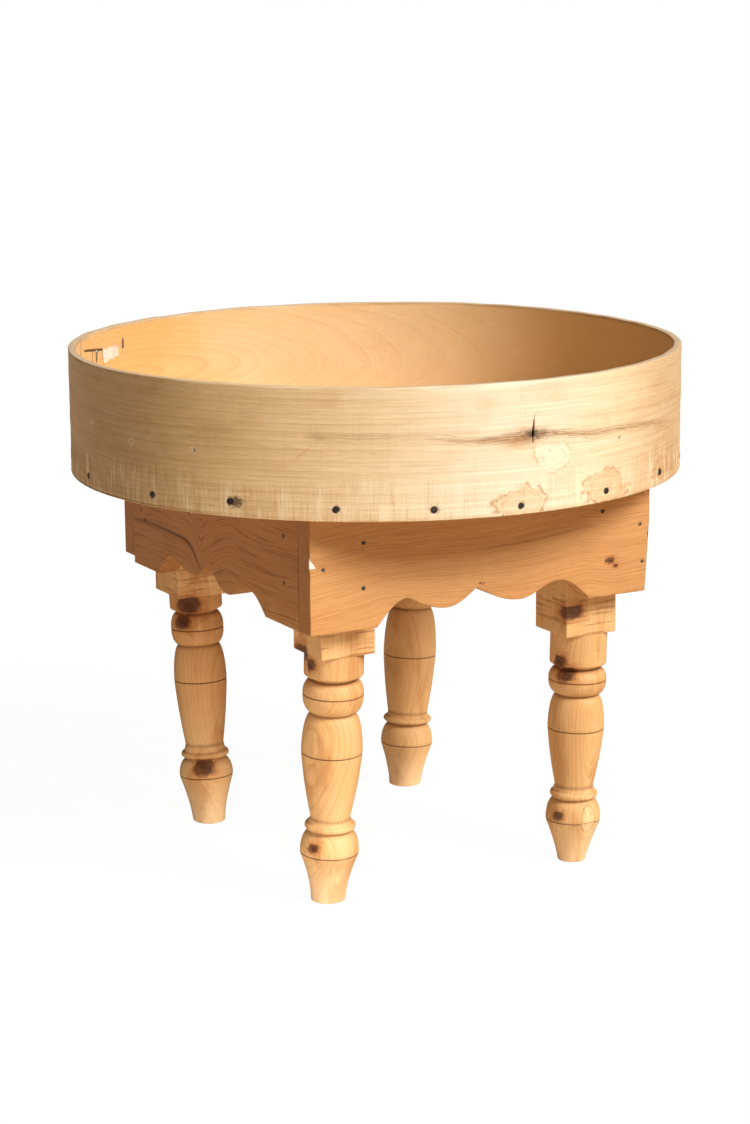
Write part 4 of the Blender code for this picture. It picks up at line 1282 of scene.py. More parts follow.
def apron_marks(recipe, _):
    """The dark resin line, painted shade on the left board, darker end grain, a pale chip and planer
    scratches.
    """
    place = recipe.fact("board")
    above, strength, _ = recipe.parts(recipe.fact("streak"))
    waver = recipe.noise(place, (25, 10, 200), detail=3, shift=2.0)
    above = recipe.plus(above, recipe.sway(waver, 3.0))
    painted_shade_board, end_grain, _ = recipe.parts(recipe.fact("shade"))
    # painted shade: the left board, turned away from the lamp, is darkened and its streaks made
    # stronger
    recipe.stain((0.74, 0.66, 0.60), painted_shade_board)
    streaky = recipe.noise(recipe.fact("grain"), (14, 60, 620), detail=4, rough=0.6, shift=12.0)
    recipe.stain((0.52, 0.38, 0.28), recipe.ramp(streaky, 0.52, 0.66),
                 recipe.plus(0.25, recipe.times(painted_shade_board, 0.45)))
    line = recipe.times(recipe.bell(above, recipe.plus(0.7, recipe.times(strength, 1.1))), strength)
    smear = recipe.times(recipe.bell(above, 3.8, -1.8), strength)
    recipe.stain((0.58, 0.40, 0.28), smear, 0.55)
    recipe.cover((0.050, 0.020, 0.011), line, 0.95)
    recipe.stain((0.60, 0.50, 0.42), end_grain)
    x, deep, z = recipe.parts(place)
    chip = recipe.plus(recipe.times(x, 160.0), recipe.times(recipe.plus(z, -0.3435), 95.0),
                       recipe.sway(waver, 0.3))
    chip = recipe.times(recipe.ramp(chip, 0.9, 1.0, 1.0, 0.0), recipe.ramp(z, 0.3430, 0.3436),
                        recipe.ramp(deep, 0.0012, 0.0018, 1.0, 0.0))
    recipe.cover((0.93, 0.88, 0.82), chip, recipe.ramp(waver, 0.40, 0.55, 1.0, 0.5))
    scratch = recipe.noise(place, (240, 60, 30), detail=2, shift=13.0)
    recipe.lift(recipe.ramp(scratch, 0.66, 0.72), 0.6)


apron_pine = pine("apron pine", (0.66, 0.345, 0.135), (0.40, 0.165, 0.055), (0.86, 0.74, 0.64),
                  ring_width=0.0026, ring_strength=0.72, wobble=0.0009, relief=0.0003, fibre=0.14,
                  flecks=0.2, gloss=0.48, rust_reach=0.3, extra=apron_marks)
for side in APRON_ORDER:
    finish_piece(make_apron(side), apron_pine, "apron_wood", f"apron_{side}")

# %% [markdown]
# ## The turned legs
# Each leg is one stick of pine: a square block at the top, then a drum, a round bulb, a long
# vase, a ring, and a heel that tapers to the foot.  A skew chisel scored a fine line round every
# widest place.  They were turned by eye, so no two are alike, and each leans a little.
# A leg is again a row of loops, square ones first and then round ones.

# %% Sizes of the legs
BLOCK_SIDE = 0.0572
GROOVE_RADIUS = 0.0202
WAIST_RADIUS = 0.0198
LINE_DEPTH = 0.0009
RING_HALF = 0.0036
VASE_SWELL = 0.10
# heights from the ground and radii of every leg; flare is the power that bends the heel
LEG_SIZES = ("block", "drum_end", "bulb_line", "neck", "vase_line", "vase_end", "ring",
             "heel_line", "drum", "bulb", "vase", "vase_foot", "ring_radius", "heel", "toe",
             "flare")
LEG_ROWS = {
    "front_left": (
        0.249, 0.2265, 0.208, 0.190, 0.150, 0.0840, 0.0760, 0.0495,
        0.0283, 0.0291, 0.0292, 0.0188, 0.0244, 0.0283, 0.0167, 1.75),
    "back_left": (
        0.2445, 0.2275, 0.207, 0.190, 0.152, 0.0835, 0.0728, 0.0500,
        0.0270, 0.0271, 0.0271, 0.0196, 0.0246, 0.0277, 0.0167, 1.5),
    "front_right": (
        0.2367, 0.2030, 0.187, 0.1725, 0.137, 0.0780, 0.0690, 0.0430,
        0.0279, 0.0286, 0.0279, 0.0190, 0.0235, 0.0271, 0.0139, 1.3),
    "back_right": (
        0.2450, 0.2330, 0.212, 0.1963, 0.144, 0.0805, 0.0725, 0.0460,
        0.0278, 0.0282, 0.0284, 0.0214, 0.0260, 0.0279, 0.0172, 1.5),
}
LEG_PLACES = {                     # corner of the frame, and how far block and foot are moved
    "front_left": dict(corner=(-1, -1), shift=(0.0, 0.0), foot=(-0.0019, 0.0147)),
    "back_left": dict(corner=(-1, 1), shift=(0.0026, -0.0014), foot=(0.0076, -0.0133)),
    "front_right": dict(corner=(1, -1), shift=(0.003, -0.0017), foot=(-0.0022, 0.0011)),
    "back_right": dict(corner=(1, 1), shift=(-0.005, 0.0027), foot=(-0.0183, -0.0003)),
}
LEGS = {name: {**LEG_PLACES[name], **dict(zip(LEG_SIZES, row))} for name, row in LEG_ROWS.items()}
# knots as (angle round the leg in degrees, height, radius), and the tree's middle beside the leg
LEG_WOOD = {
    "front_left": dict(pith=(0.034, 0.012), knots=((160, 0.2495, 0.0078), (-172, 0.2405, 0.0060),
                                                   (-153, 0.0590, 0.0042), (20, 0.12, 0.004))),
    "back_left": dict(pith=(-0.018, 0.030), knots=((-131, 0.2360, 0.0098), (-151, 0.2170, 0.0072),
                                                   (-119, 0.0640, 0.0088), (60, 0.16, 0.005))),
    "front_right": dict(pith=(0.010, -0.038), knots=((-128, 0.262, 0.0070), (-165, 0.2090, 0.0065),
                                                     (-148, 0.1970, 0.0072), (-155, 0.0510, 0.0045),
                                                     (80, 0.12, 0.005))),
    "back_right": dict(pith=(0.036, 0.020), knots=((80, 0.10, 0.0025), (120, 0.18, 0.005))),
}
LEG_RADIUS = 0.028                 # about, to turn angles into lengths round a leg
FACET_LEG = "front_right"
FACET = (math.radians(-84) * LEG_RADIUS, 47.5, 9.0, 14.5)  # round the leg; mm: height, half sizes
# how much each leg is darkened towards the top of its round part
LEG_DARKENING = {"front_left": 0.40, "back_left": 0.75, "front_right": 0.15, "back_right": 0.35}
HEEL_TOP = 0.055                   # the legs darken from here up


def quarter(r_start, r_end, z_start, z_end, swell_first, steps=12):
    """A quarter of an ellipse between two (radius, height) points, the start left out."""
    a = PI / 2 * np.arange(1, steps + 1) / steps
    if swell_first:
        return [*zip(r_start + (r_end - r_start) * np.sin(a), z_end + (z_start - z_end) * np.cos(a))]
    return [*zip(r_end + (r_start - r_end) * np.cos(a), z_start + (z_end - z_start) * np.sin(a))]


def scored(radius, z):
    """The V that the skew's point leaves."""
    return [(radius - LINE_DEPTH * 0.25, z + LINE_DEPTH * 0.6), (radius - LINE_DEPTH, z),
            (radius - LINE_DEPTH * 0.2, z - LINE_DEPTH * 0.6)]


def turned_profile(leg):
    """Radius and height from just under the block down to the ground."""
    soft = 0.0020
    top = leg["block"] - 0.0022
    groove = leg["drum_end"] - 2 * soft
    points = [(leg["drum"], z) for z in np.linspace(top, leg["drum_end"] + soft, 10)]
    points += [(leg["drum"] - soft * (1 - math.cos(a)), leg["drum_end"] + soft * (1 - math.sin(a)))
               for a in np.radians([30, 60, 85])]
    points += [(GROOVE_RADIUS + 0.0008, groove + 0.0012), (GROOVE_RADIUS, groove)]
    points += quarter(GROOVE_RADIUS, leg["bulb"], groove, leg["bulb_line"] + LINE_DEPTH, True)
    points += scored(leg["bulb"], leg["bulb_line"])
    points += quarter(leg["bulb"], GROOVE_RADIUS, leg["bulb_line"] - LINE_DEPTH, leg["neck"], False)
    points += quarter(GROOVE_RADIUS, leg["vase"], leg["neck"] - 0.001,
                      leg["vase_line"] + LINE_DEPTH, True, 18)
    points += scored(leg["vase"], leg["vase_line"])
    for k in range(23, -1, -1):
        share = k / 24
        swell = share + VASE_SWELL * math.sin(PI * share)
        points.append((leg["vase_foot"] + (leg["vase"] - leg["vase_foot"]) * swell,
                       leg["vase_end"] + (leg["vase_line"] - LINE_DEPTH - leg["vase_end"]) * share))
    for k in range(1, 12):
        a = PI * k / 12
        points.append((WAIST_RADIUS + (leg["ring_radius"] - WAIST_RADIUS) * math.sin(a) ** 0.9,
                       leg["ring"] + RING_HALF * math.cos(a)))
    waist = leg["ring"] - RING_HALF - 0.001
    points.append((WAIST_RADIUS, waist))
    points += quarter(WAIST_RADIUS, leg["heel"], waist - 0.001, leg["heel_line"] + LINE_DEPTH, True)
    points += scored(leg["heel"], leg["heel_line"])
    for k in range(19, 0, -1):
        share = k / 20
        points.append((leg["toe"] + (leg["heel"] - leg["toe"]) * share ** leg["flare"],
                       (leg["heel_line"] - LINE_DEPTH) * share))
    return np.array(points)


print("longest leg part", round(max(l["block"] for l in LEGS.values()) * 1000), "mm")

# %% [markdown]
# ### From square to round
# Every loop has the same number of points, so square loops can turn into round ones at the
# block's lower face.  The round part follows the leg's own leaning axis.

# %% Legs
LEG_ANGLES = np.unique(np.concatenate([np.arange(0, 360, 3.75)]
                                      + [[c - 2.2, c - 1.1, c, c + 1.1, c + 2.2]
                                         for c in (45, 135, 225, 315)]))


def square_loop(angles, half, corner):
    """Points on a square with rounded corners, in the directions of the angles."""
    ways = np.stack([np.cos(angles), np.sin(angles)], -1)
    on_square = ways * (half / np.abs(ways).max(-1))[:, None]
    inner = np.clip(on_square, -(half - corner), half - corner)
    out = on_square - inner
    length = np.linalg.norm(out, axis=1)[:, None]
    return np.where(length > 1e-9, inner + out / np.maximum(length, 1e-9) * corner, on_square)


def make_leg(name):
    leg, wood = LEGS[name], LEG_WOOD[name]
    sx, sy = leg["corner"]
    _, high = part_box(f"leg_{name}")
    middle = np.array([sx * (HALF - BOARD_THICKNESS - GAP - BLOCK_SIDE / 2) + FRAME_SHIFT[0],
                       sy * (HALF - GAP - BLOCK_SIDE / 2) + FRAME_SHIFT[1], 0.0])
    top = middle + np.array([*leg["shift"], leg["block"]])
    foot = middle + np.array([*leg["foot"], 0.0])
    angles = np.radians(LEG_ANGLES)
    half = BLOCK_SIDE / 2
    seed = list(LEGS).index(name)
    loops, edges = [], []

    def add_flat(xy, z, centre, edge):
        loops.append(np.column_stack([xy + centre[:2], np.full(len(xy), z)]))
        edges.append(np.full(len(xy), edge))

    tip = 0.0012
    add_flat(square_loop(angles, half - 2 * tip, tip), high.z, middle, 1)
    add_flat(square_loop(angles, half - 0.3 * tip, tip), high.z - tip * 0.3, middle, 1)
    for z in np.linspace(high.z - tip, leg["block"] + tip, 60):
        add_flat(square_loop(angles, half, tip), z, middle, 0)
    add_flat(square_loop(angles, half - 0.3 * tip, tip), leg["block"] + tip * 0.3, middle, 1)
    add_flat(square_loop(angles, half - tip, tip), leg["block"], middle, 1)
    ring = np.stack([np.cos(angles), np.sin(angles)], -1)
    shoulder = square_loop(angles, half - tip, tip)
    drum = ring * leg["drum"] + (top - middle)[:2]
    add_flat(shoulder * 0.5 + drum * 0.5, leg["block"] - 0.0001, middle, 0)
    add_flat(drum, leg["block"] - 0.0002, middle, 0)

    axis = (top - foot) / np.linalg.norm(top - foot)
    across = np.cross([0.0, 1.0, 0.0], axis)
    across /= np.linalg.norm(across)
    other = np.cross(axis, across)
    out_of_round = 1 + 0.006 * np.cos(2 * angles + seed)
    for radius, z in turned_profile(leg):
        centre = foot + (top - foot) * (z / leg["block"])
        r = radius * out_of_round + leg_wear(name, angles, z)
        loop = centre + r[:, None] * (np.cos(angles)[:, None] * across
                                      + np.sin(angles)[:, None] * other)
        loop[:, 2] = np.maximum(loop[:, 2], 0.0008)
        loops.append(loop)
        edges.append(np.zeros(len(angles)))
    add_flat(ring * (leg["toe"] - 0.0002), 0.0005, foot, 1)
    add_flat(ring * (leg["toe"] - 0.0010), 0.0, foot, 1)

    loops = np.array(loops)
    edges = np.array(edges)
    along = loops[..., 2]
    flat = loops[..., :2] - middle[:2]
    own = loops[..., :2]
    own = own - (own.max(axis=1, keepdims=True) + own.min(axis=1, keepdims=True)) / 2
    turn = np.arctan2(own[..., 1], own[..., 0])
    size = np.hypot(flat[..., 0], flat[..., 1])
    rings = leg_rings(wood, flat, along, seed)
    round_about = turn * LEG_RADIUS
    knots = [(math.radians(a) * LEG_RADIUS, z, r) for a, z, r in wood["knots"]]
    rings = rings + round_knots(round_about, along, [(x, z, r * 1.2) for x, z, r in knots])
    facts = {
        "grain": np.stack([along, size * 0.3, rings], -1),
        "board": np.stack([along, flat[..., 0], flat[..., 1]], -1) + seed * 1.7,
        "knot": to_nearest(round_about, along, knots),
        "nail": to_nearest(along, along, ()),
        "edge": edges,
        "cut": scored_facts(leg, loops, foot, top),
        "facet": oval_distance(round_about, along, [FACET] if name == FACET_LEG else ()),
        "leg_darkening": np.stack([0 * along + LEG_DARKENING[name],
                             np.clip((along - leg["block"]) / 0.001, 0, 1),
                             (along - HEEL_TOP) / (leg["neck"] - HEEL_TOP)], -1),
    }
    return skin(f"turned_leg_{name}", loops, facts)


def leg_rings(wood, flat, along, seed):
    """Distance from the tree's middle, which lies beside the leg and isn't quite parallel."""
    place = np.stack([along * 0.45, flat[..., 0], flat[..., 1]], -1) + seed
    away = flat - np.array(wood["pith"]) - np.stack([along - 0.2, 0.4 * (along - 0.2)], -1) * 0.03
    return np.hypot(away[..., 0], away[..., 1]) + uneven(place, 0.06, 70 + seed) * 0.0014


def scored_facts(leg, loops, foot, top):
    """How near a point is to a scored line, in mm along the leg's axis."""
    axis = (top - foot) / np.linalg.norm(top - foot)
    level = ((loops - foot) @ axis) * (leg["block"] / np.linalg.norm(top - foot))
    lines = (leg["bulb_line"], leg["vase_line"], leg["heel_line"])
    grooves = (leg["drum_end"] - 0.004, leg["neck"], leg["vase_end"], leg["ring"] - RING_HALF)
    nearest = [np.min([np.abs(level - line) * 1000 for line in group], axis=0, initial=99.0)
               for group in (lines, grooves)]
    return np.stack([*nearest, level * 0], -1)


def leg_wear(name, angles, z):
    """Flats and chips, in metres off the radius."""
    wear = np.zeros(len(angles))

    def off(middle, width):
        """Degrees from a middle, as a share of a width."""
        return ((np.degrees(angles) - middle + 180) % 360 - 180) / width

    if name == "front_right":                      # a flat was cut on the lower heel
        wear -= (0.0024 * np.clip(1 - off(276, 24) ** 2, 0, 1)
                 * np.exp(-((z - 0.0475) / 0.014) ** 6))
        wear -= 0.0022 * np.exp(-off(225, 12) ** 2 - ((z - 0.2005) / 0.0022) ** 2)
    if name == "front_left":
        wear -= 0.0008 * np.exp(-off(250, 16) ** 2 - ((z - 0.0755) / 0.003) ** 2)
    return wear


def turning_marks(recipe, _):
    """Darker scored lines and grooves, darker upper legs, painted light at the feet and the fine ridges
    that the gouge left.
    """
    near, groove, _ = recipe.parts(recipe.fact("cut"))
    leg_darkening, block, up = recipe.parts(recipe.fact("leg_darkening"))
    round_part = recipe.sum("SUBTRACT", 1.0, block)
    # darker towards the top of the round part, by each leg's own amount
    recipe.stain((0.80, 0.64, 0.52), leg_darkening, recipe.ramp(up, 0.05, 0.75), round_part)
    # the scored lines and the grooves are painted darker
    recipe.cover((0.13, 0.042, 0.014), recipe.bell(near, 0.55), 0.92)
    recipe.cover((0.26, 0.11, 0.045), recipe.bell(groove, 1.8), 0.55)
    place = recipe.fact("board")
    ridges = recipe.noise(place, (900, 12, 12), detail=2, shift=4.0)
    recipe.lift(ridges, 0.5)
    saw = recipe.noise(place, (330, 18, 18), detail=3, rough=0.6, shift=24.0)
    patchy = recipe.noise(place, (40, 40, 40), detail=2, shift=33.0)
    saw_line = recipe.times(recipe.ramp(saw, 0.53, 0.62), block, recipe.ramp(patchy, 0.32, 0.56))
    recipe.stain((0.50, 0.30, 0.17), saw_line, 0.58)
    recipe.lift(saw_line, -1.2)
    # painted light: a paler colour fades up the lowest 6 cm of every leg, as bounce from the floor
    level, _, _ = recipe.parts(recipe.fact("grain"))
    recipe.cover((0.92, 0.72, 0.46), recipe.ramp(level, 0.0, 0.06, 0.5, 0.0))
    grime = recipe.noise(place, (14, 40, 40), detail=4, shift=15.0)
    recipe.stain((0.66, 0.46, 0.30), recipe.ramp(grime, 0.50, 0.68, 0.0, 0.52))
    facet = recipe.plus(recipe.fact("facet", "Fac"), recipe.sway(patchy, 0.5))
    streaked = recipe.ramp(recipe.noise(place, (30, 500, 500), detail=2, shift=44.0), 0.40, 0.60,
                           0.25, 0.75)
    recipe.cover((0.92, 0.66, 0.38), recipe.ramp(facet, 0.80, 1.0, 1.0, 0.0), streaked)
    recipe.cover((0.42, 0.20, 0.08), recipe.bell(facet, 0.08, 1.0), 0.5)


leg_pine = pine("leg pine", (0.78, 0.50, 0.235), (0.58, 0.28, 0.095), (0.90, 0.73, 0.55),
                ring_width=0.0036, ring_strength=0.62, wobble=0.0008, relief=0.00028, fibre=0.09,
                flecks=0.2, gloss=0.46, extra=turning_marks)
for name in LEGS:
    finish_piece(make_leg(name), leg_pine, "leg_wood", f"leg_{name}")

# %% [markdown]
# ## Nails
# Forty-five nails look alike, so one recipe makes them all: a flattened, slightly hammered head
# on a tapering shank.  Geometry Nodes set a copy on every marked point, turned to the direction
# stored there, with a small random tilt and size.

# %% Nail tree


def new_tree(name, **sizes):
    """An empty tree that takes points, sizes, a seed and a material; its wiring helper."""
    tree = bpy.data.node_groups.new(name, "GeometryNodeTree")
    tree.interface.new_socket(name="Geometry", in_out="OUTPUT", socket_type="NodeSocketGeometry")
    kinds = {"Geometry": "Geometry", **dict.fromkeys(sizes, "Float"), "Seed": "Int",
             "Material": "Material"}
    for label, kind in kinds.items():
        made = tree.interface.new_socket(name=label, in_out="INPUT",
                                         socket_type="NodeSocket" + kind)
        if label in sizes:
            made.default_value = sizes[label]
    recipe = Recipe(tree)
    return tree, recipe, recipe.node("NodeGroupInput").outputs


def pushed_about(recipe, shape, scale, detail, size):
    """Every point of a shape moved by a cloudy amount."""
    where = recipe.node("GeometryNodeInputPosition").outputs[0]
    cloud = recipe.node_with("ShaderNodeTexNoise", Vector=where, Scale=scale, Detail=detail)
    centred = recipe.vector("SUBTRACT", cloud.outputs["Color"], (0.5, 0.5, 0.5))
    push = recipe.node("ShaderNodeVectorMath", operation="SCALE")
    recipe.feed(push.inputs[0], centred)
    recipe.feed(push.inputs["Scale"], size)
    moved = recipe.node_with("GeometryNodeSetPosition", Geometry=shape, Offset=push.outputs[0])
    return moved.outputs[0]


def set_on_points(recipe, given, shape, tilt, smallest, largest):
    """A copy on every point along the way stored there, tilted and sized by chance."""
    aim = recipe.node("GeometryNodeInputNamedAttribute", data_type="FLOAT_VECTOR")
    recipe.feed(aim.inputs["Name"], "aim")
    point_at = recipe.node_with("FunctionNodeAlignRotationToVector",
                                Vector=aim.outputs["Attribute"])
    chance = recipe.node("FunctionNodeRandomValue", data_type="FLOAT_VECTOR")
    turned = recipe.node("FunctionNodeRotateRotation", rotation_space="LOCAL")
    size = recipe.node("FunctionNodeRandomValue", data_type="FLOAT")
    for socket, value in ((chance.inputs[0], (-tilt, -tilt, -PI)),
                          (chance.inputs[1], (tilt, tilt, PI)),
                          (chance.inputs["Seed"], given["Seed"]),
                          (turned.inputs[0], point_at.outputs[0]),
                          (turned.inputs[1], chance.outputs[0]),
                          (size.inputs[2], smallest), (size.inputs[3], largest),
                          (size.inputs["Seed"], given["Seed"])):
        recipe.feed(socket, value)
    copies = recipe.node_with("GeometryNodeInstanceOnPoints", Points=given["Geometry"],
                              Instance=shape, Rotation=turned.outputs[0], Scale=size.outputs[1])
    return recipe.node_with("GeometryNodeRealizeInstances", Geometry=copies.outputs[0]).outputs[0]


def end_tree(recipe, given, shape):
    """Paints the shape and hands it out."""
    painted = recipe.node_with("GeometryNodeSetMaterial", Geometry=shape,
                               Material=given["Material"])
    recipe.feed(recipe.node("NodeGroupOutput").inputs[0], painted.outputs[0])


def nail_tree():
    tree, recipe, given = new_tree("drive nails", **{
        "Head Radius": 0.003, "Head Thickness": 0.0012, "Shank Radius": 0.0012,
        "Length": 0.034, "Hammering": 0.0002})
    head = recipe.node("GeometryNodeMeshCylinder", fill_type="TRIANGLE_FAN")
    for key, value in {"Vertices": 20, "Side Segments": 2, "Fill Segments": 3,
                       "Radius": given["Head Radius"], "Depth": given["Head Thickness"]}.items():
        recipe.feed(head.inputs[key], value)
    sink = recipe.sum("MULTIPLY_ADD", given["Head Thickness"], -0.5, 0.0001)
    down = recipe.node_with("ShaderNodeCombineXYZ", Z=sink)
    sunk = recipe.node_with("GeometryNodeTransform", Geometry=head.outputs["Mesh"],
                            Translation=down.outputs[0])
    hammered = pushed_about(recipe, sunk.outputs[0], 420.0, 1.0, given["Hammering"])

    shank = recipe.node_with("GeometryNodeMeshCone", Vertices=8, Depth=given["Length"], **{
        "Radius Bottom": given["Shank Radius"], "Radius Top": 0.0002})
    turned = recipe.node_with("GeometryNodeTransform", Geometry=shank.outputs["Mesh"],
                              Rotation=(PI, 0, 0), Translation=(0, 0, -0.001))
    nail = recipe.node("GeometryNodeJoinGeometry")
    recipe.feed(nail.inputs[0], turned.outputs[0])
    recipe.feed(nail.inputs[0], hammered)
    end_tree(recipe, given, set_on_points(recipe, given, nail.outputs[0], 0.09, 0.90, 1.06))
    return tree


def grow(name, tree, points, aims, **sizes):
    """Runs a tree on a row of points and keeps the result as one plain mesh."""
    cloud = bpy.data.meshes.new(name + " points")
    cloud.from_pydata([tuple(p) for p in points], [], [])
    stored = cloud.attributes.new("aim", "FLOAT_VECTOR", "POINT")
    stored.data.foreach_set("vector", np.asarray(aims, np.float32).ravel())
    piece = placed(name, cloud)
    modifier = piece.modifiers.new("grow", "NODES")
    modifier.node_group = tree
    for item in tree.interface.items_tree:
        if item.in_out == "INPUT" and item.name in sizes:
            modifier[item.identifier] = sizes[item.name]
    graph = bpy.context.evaluated_depsgraph_get()
    mesh = bpy.data.meshes.new_from_object(piece.evaluated_get(graph))
    piece.modifiers.remove(modifier)
    piece.data = mesh
    mesh.shade_smooth()
    mesh.set_sharp_from_angle(angle=math.radians(50))
    return piece


def head_place(node, outward):
    """Middle of a nail's head at the wood's surface."""
    low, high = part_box(node)
    middle = (low + high) / 2
    reach = max(abs(outward.x) * (high.x - low.x), abs(outward.y) * (high.y - low.y),
                abs(outward.z) * (high.z - low.z)) / 2
    return middle + outward * reach

# %% [markdown]
# The old nails are black iron, spotted with rust and rubbed bright in places.

# %% Iron


def metal(name, base, rust, shine, roughness, metallic):
    made, recipe = new_material(name)
    place = recipe.node("ShaderNodeTexCoord").outputs["Object"]
    spots = recipe.noise(place, (900, 900, 900), detail=4, rough=0.6)
    recipe.colour = recipe.paint(recipe.ramp(spots, 0.42, 0.62), base, rust)
    recipe.cover(shine, recipe.ramp(recipe.noise(place, (300, 300, 300), shift=5.0), 0.58, 0.70))
    height = recipe.noise(place, (1500, 1500, 1500), detail=3, shift=9.0)
    recipe.surface(recipe.colour, recipe.plus(roughness, recipe.times(spots, 0.3)), height,
                   strength=0.8, Metallic=metallic)
    return made


black_iron = metal("black iron", (0.016, 0.018, 0.024), (0.028, 0.018, 0.014),
                   (0.07, 0.08, 0.10), 0.45, 0.2)
grey_iron = metal("grey iron", (0.030, 0.036, 0.046), (0.035, 0.028, 0.026),
                  (0.12, 0.14, 0.17), 0.42, 0.3)
bright_steel = metal("bright steel", (0.42, 0.43, 0.45), (0.30, 0.28, 0.27),
                     (0.62, 0.63, 0.65), 0.22, 0.9)

# %% Nails of the hoop, the aprons and the floor
nails = nail_tree()


def drive(name, prefix, outward_of, place_of, material, slot, seed, **sizes):
    nodes = [n for n in sorted(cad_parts) if n.startswith(prefix) and "nail" in n]
    places, aims = [], []
    for node in nodes:
        low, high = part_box(node)
        outward = outward_of((low + high) / 2)
        places.append(place_of(node, outward))
        aims.append(outward)
    piece = grow(name, nails, places, aims, Seed=seed, Material=material, **sizes)
    finish_piece(piece, None, slot, *nodes)


def outwards(point):
    return Vector((point.x, point.y, 0)).normalized()


def on_the_hoop(node, outward):
    """Middle of a head on the hoop's outside, just below the wood's surface."""
    low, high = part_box(node)
    turn = turns_of(math.degrees(math.atan2(outward.y, outward.x)))[-1]
    place = outward * wall_at(turn, 1)
    place.z = (low.z + high.z) / 2
    return place


drive("hoop_nails", "hoop_nail", outwards, on_the_hoop, black_iron, "iron", 3,
      **{"Head Radius": 0.0029, "Hammering": 0.0005})
DIRECTIONS = {"front": (0, -1, 0), "right": (1, 0, 0), "back": (0, 1, 0), "left": (-1, 0, 0)}
for number, (side, way) in enumerate(DIRECTIONS.items()):
    drive(f"apron_{side}_nails", f"apron_{side}_nail", lambda p, w=way: Vector(w), head_place,
          grey_iron, "iron", 10 + number, **{"Head Radius": 0.0019, "Hammering": 0.0006})
drive("floor_nails", "floor_plank", lambda p: Vector((0, 0, 1)), head_place, grey_iron, "iron", 20,
      **{"Head Radius": 0.0023, "Hammering": 0.0006})

# %% [markdown]
# ## Torn fibres
# The saw and the weather left fine pale fibres standing off the hoop: all along its lower edge,
# round the old pins and on the rim at the right.  One small tree sets a thin bent sliver on every
# point, along the direction stored there.

# %% Splinter tree


def splinter_tree():
    tree, recipe, given = new_tree("raise splinters", Width=0.00022, Length=0.003, Curl=0.0008)
    sliver = recipe.node_with("GeometryNodeMeshCone", Vertices=4, Depth=given["Length"], **{
        "Side Segments": 4, "Radius Top": 0.00003, "Radius Bottom": given["Width"]})
    real = set_on_points(recipe, given, sliver.outputs["Mesh"], 0.45, 0.35, 1.0)
    end_tree(recipe, given, pushed_about(recipe, real, 260.0, 0.0, given["Curl"]))
    return tree

# %% Splinters on the hoop
EDGE_SPLINTERS = 330
PIN_SPLINTERS = 14
FACE_SPLINTERS = 150
RIM_SPLINTERS = 60
INSIDE_SPLINTERS = 90


def on_hoop(angle, height, inside=False):
    """A point on the hoop's wall, and the ways outward and round it."""
    turn = turns_of(angle)[0 if inside else -1]
    radius = wall_at(turn, 0 if inside else 1)
    out = Vector((math.cos(math.radians(angle)), math.sin(math.radians(angle)), 0))
    point = out * (radius + (0.0002 if inside else -0.0002)) + Vector((0, 0, HOOP_BOTTOM + height))
    return point, -out if inside else out, Vector((0, 0, 1)).cross(out)


def splinter_places():
    chance = np.random.default_rng(12)
    places, aims = [], []

    def add(angle, height, away, round_by, up_by, inside=False):
        point, out, around = on_hoop(angle, height, inside)
        places.append(point)
        aims.append((out * away + around * round_by + Vector((0, 0, up_by))).normalized())

    for _ in range(EDGE_SPLINTERS):
        add(chance.uniform(0, 360), chance.uniform(0.0, 0.0012), 0.25,
            chance.choice((-1, 1)) * chance.uniform(0.4, 1.5), chance.uniform(-0.9, 0.1))
    for angle, height in PINS[2:]:
        for _ in range(PIN_SPLINTERS):
            add(angle + chance.normal(0, 0.45), height * MM + chance.normal(0, 0.0022), 0.35,
                chance.choice((-1, 1)), chance.normal(0, 0.8))
    for _ in range(FACE_SPLINTERS):
        add(-100 - abs(chance.normal(0, 40)), 0.006 + abs(chance.normal(0, 0.018)), 0.12,
            chance.normal(0, 0.25), chance.choice((-1, 1)))
    for _ in range(RIM_SPLINTERS):
        add(chance.uniform(-40, 20), HOOP_HEIGHT - 0.0012, 0.3, chance.choice((-1, 1)), 0.12)
    for _ in range(INSIDE_SPLINTERS):
        add(chance.normal(76, 16), chance.uniform(0.06, 0.115), 0.15, chance.normal(0, 0.3),
            chance.choice((-1, 1)), True)
    return places, aims


def sliver_material():
    made, recipe = new_material("torn fibres")
    place = recipe.node("ShaderNodeTexCoord").outputs["Object"]
    cloud = recipe.noise(place, (50, 50, 50), detail=2)
    colour = recipe.paint(recipe.ramp(cloud, 0.35, 0.65), (0.93, 0.76, 0.50), (0.80, 0.58, 0.32))
    recipe.surface(colour, recipe.plus(0.6, recipe.times(cloud, 0.2)))
    return made


places, aims = splinter_places()
splinters = grow("hoop_splinters", splinter_tree(), places, aims, Seed=8, Material=sliver_material(),
                 Width=0.00017, Length=0.0030, Curl=0.0012)
finish_piece(splinters, None, "hoop_wood")

# %% [markdown]
# ## Clinched nails
# Two newer nails hold the lap.  Their points come through on the inside, were bent over with the
# hammer and lie flat against the wood.

# %% Clinched nails
CLINCH = ((136.8, 0.1040, -0.0125), (124.5, 0.0980, 0.0105))   # angle, height, bent length
BEND = 0.0016                     # radius of the hammered bend


def tube(path, radii, flats, count=12):
    """Round loops along a path of points, squashed by a share towards the wall."""
    path = np.asarray(path)
    ways = np.gradient(path, axis=0)
    ways /= np.linalg.norm(ways, axis=1)[:, None]
    side = np.cross(path[1] - path[0], path[-1] - path[0])
    side /= np.linalg.norm(side)
    turns = np.linspace(0, 2 * PI, count, endpoint=False)
    loops = []
    for centre, way, radius, flat in zip(path, ways, radii, flats):
        second = np.cross(way, side)
        loops.append(centre + radius * (np.cos(turns)[:, None] * side
                                        + flat * np.sin(turns)[:, None] * second))
    return np.array(loops)


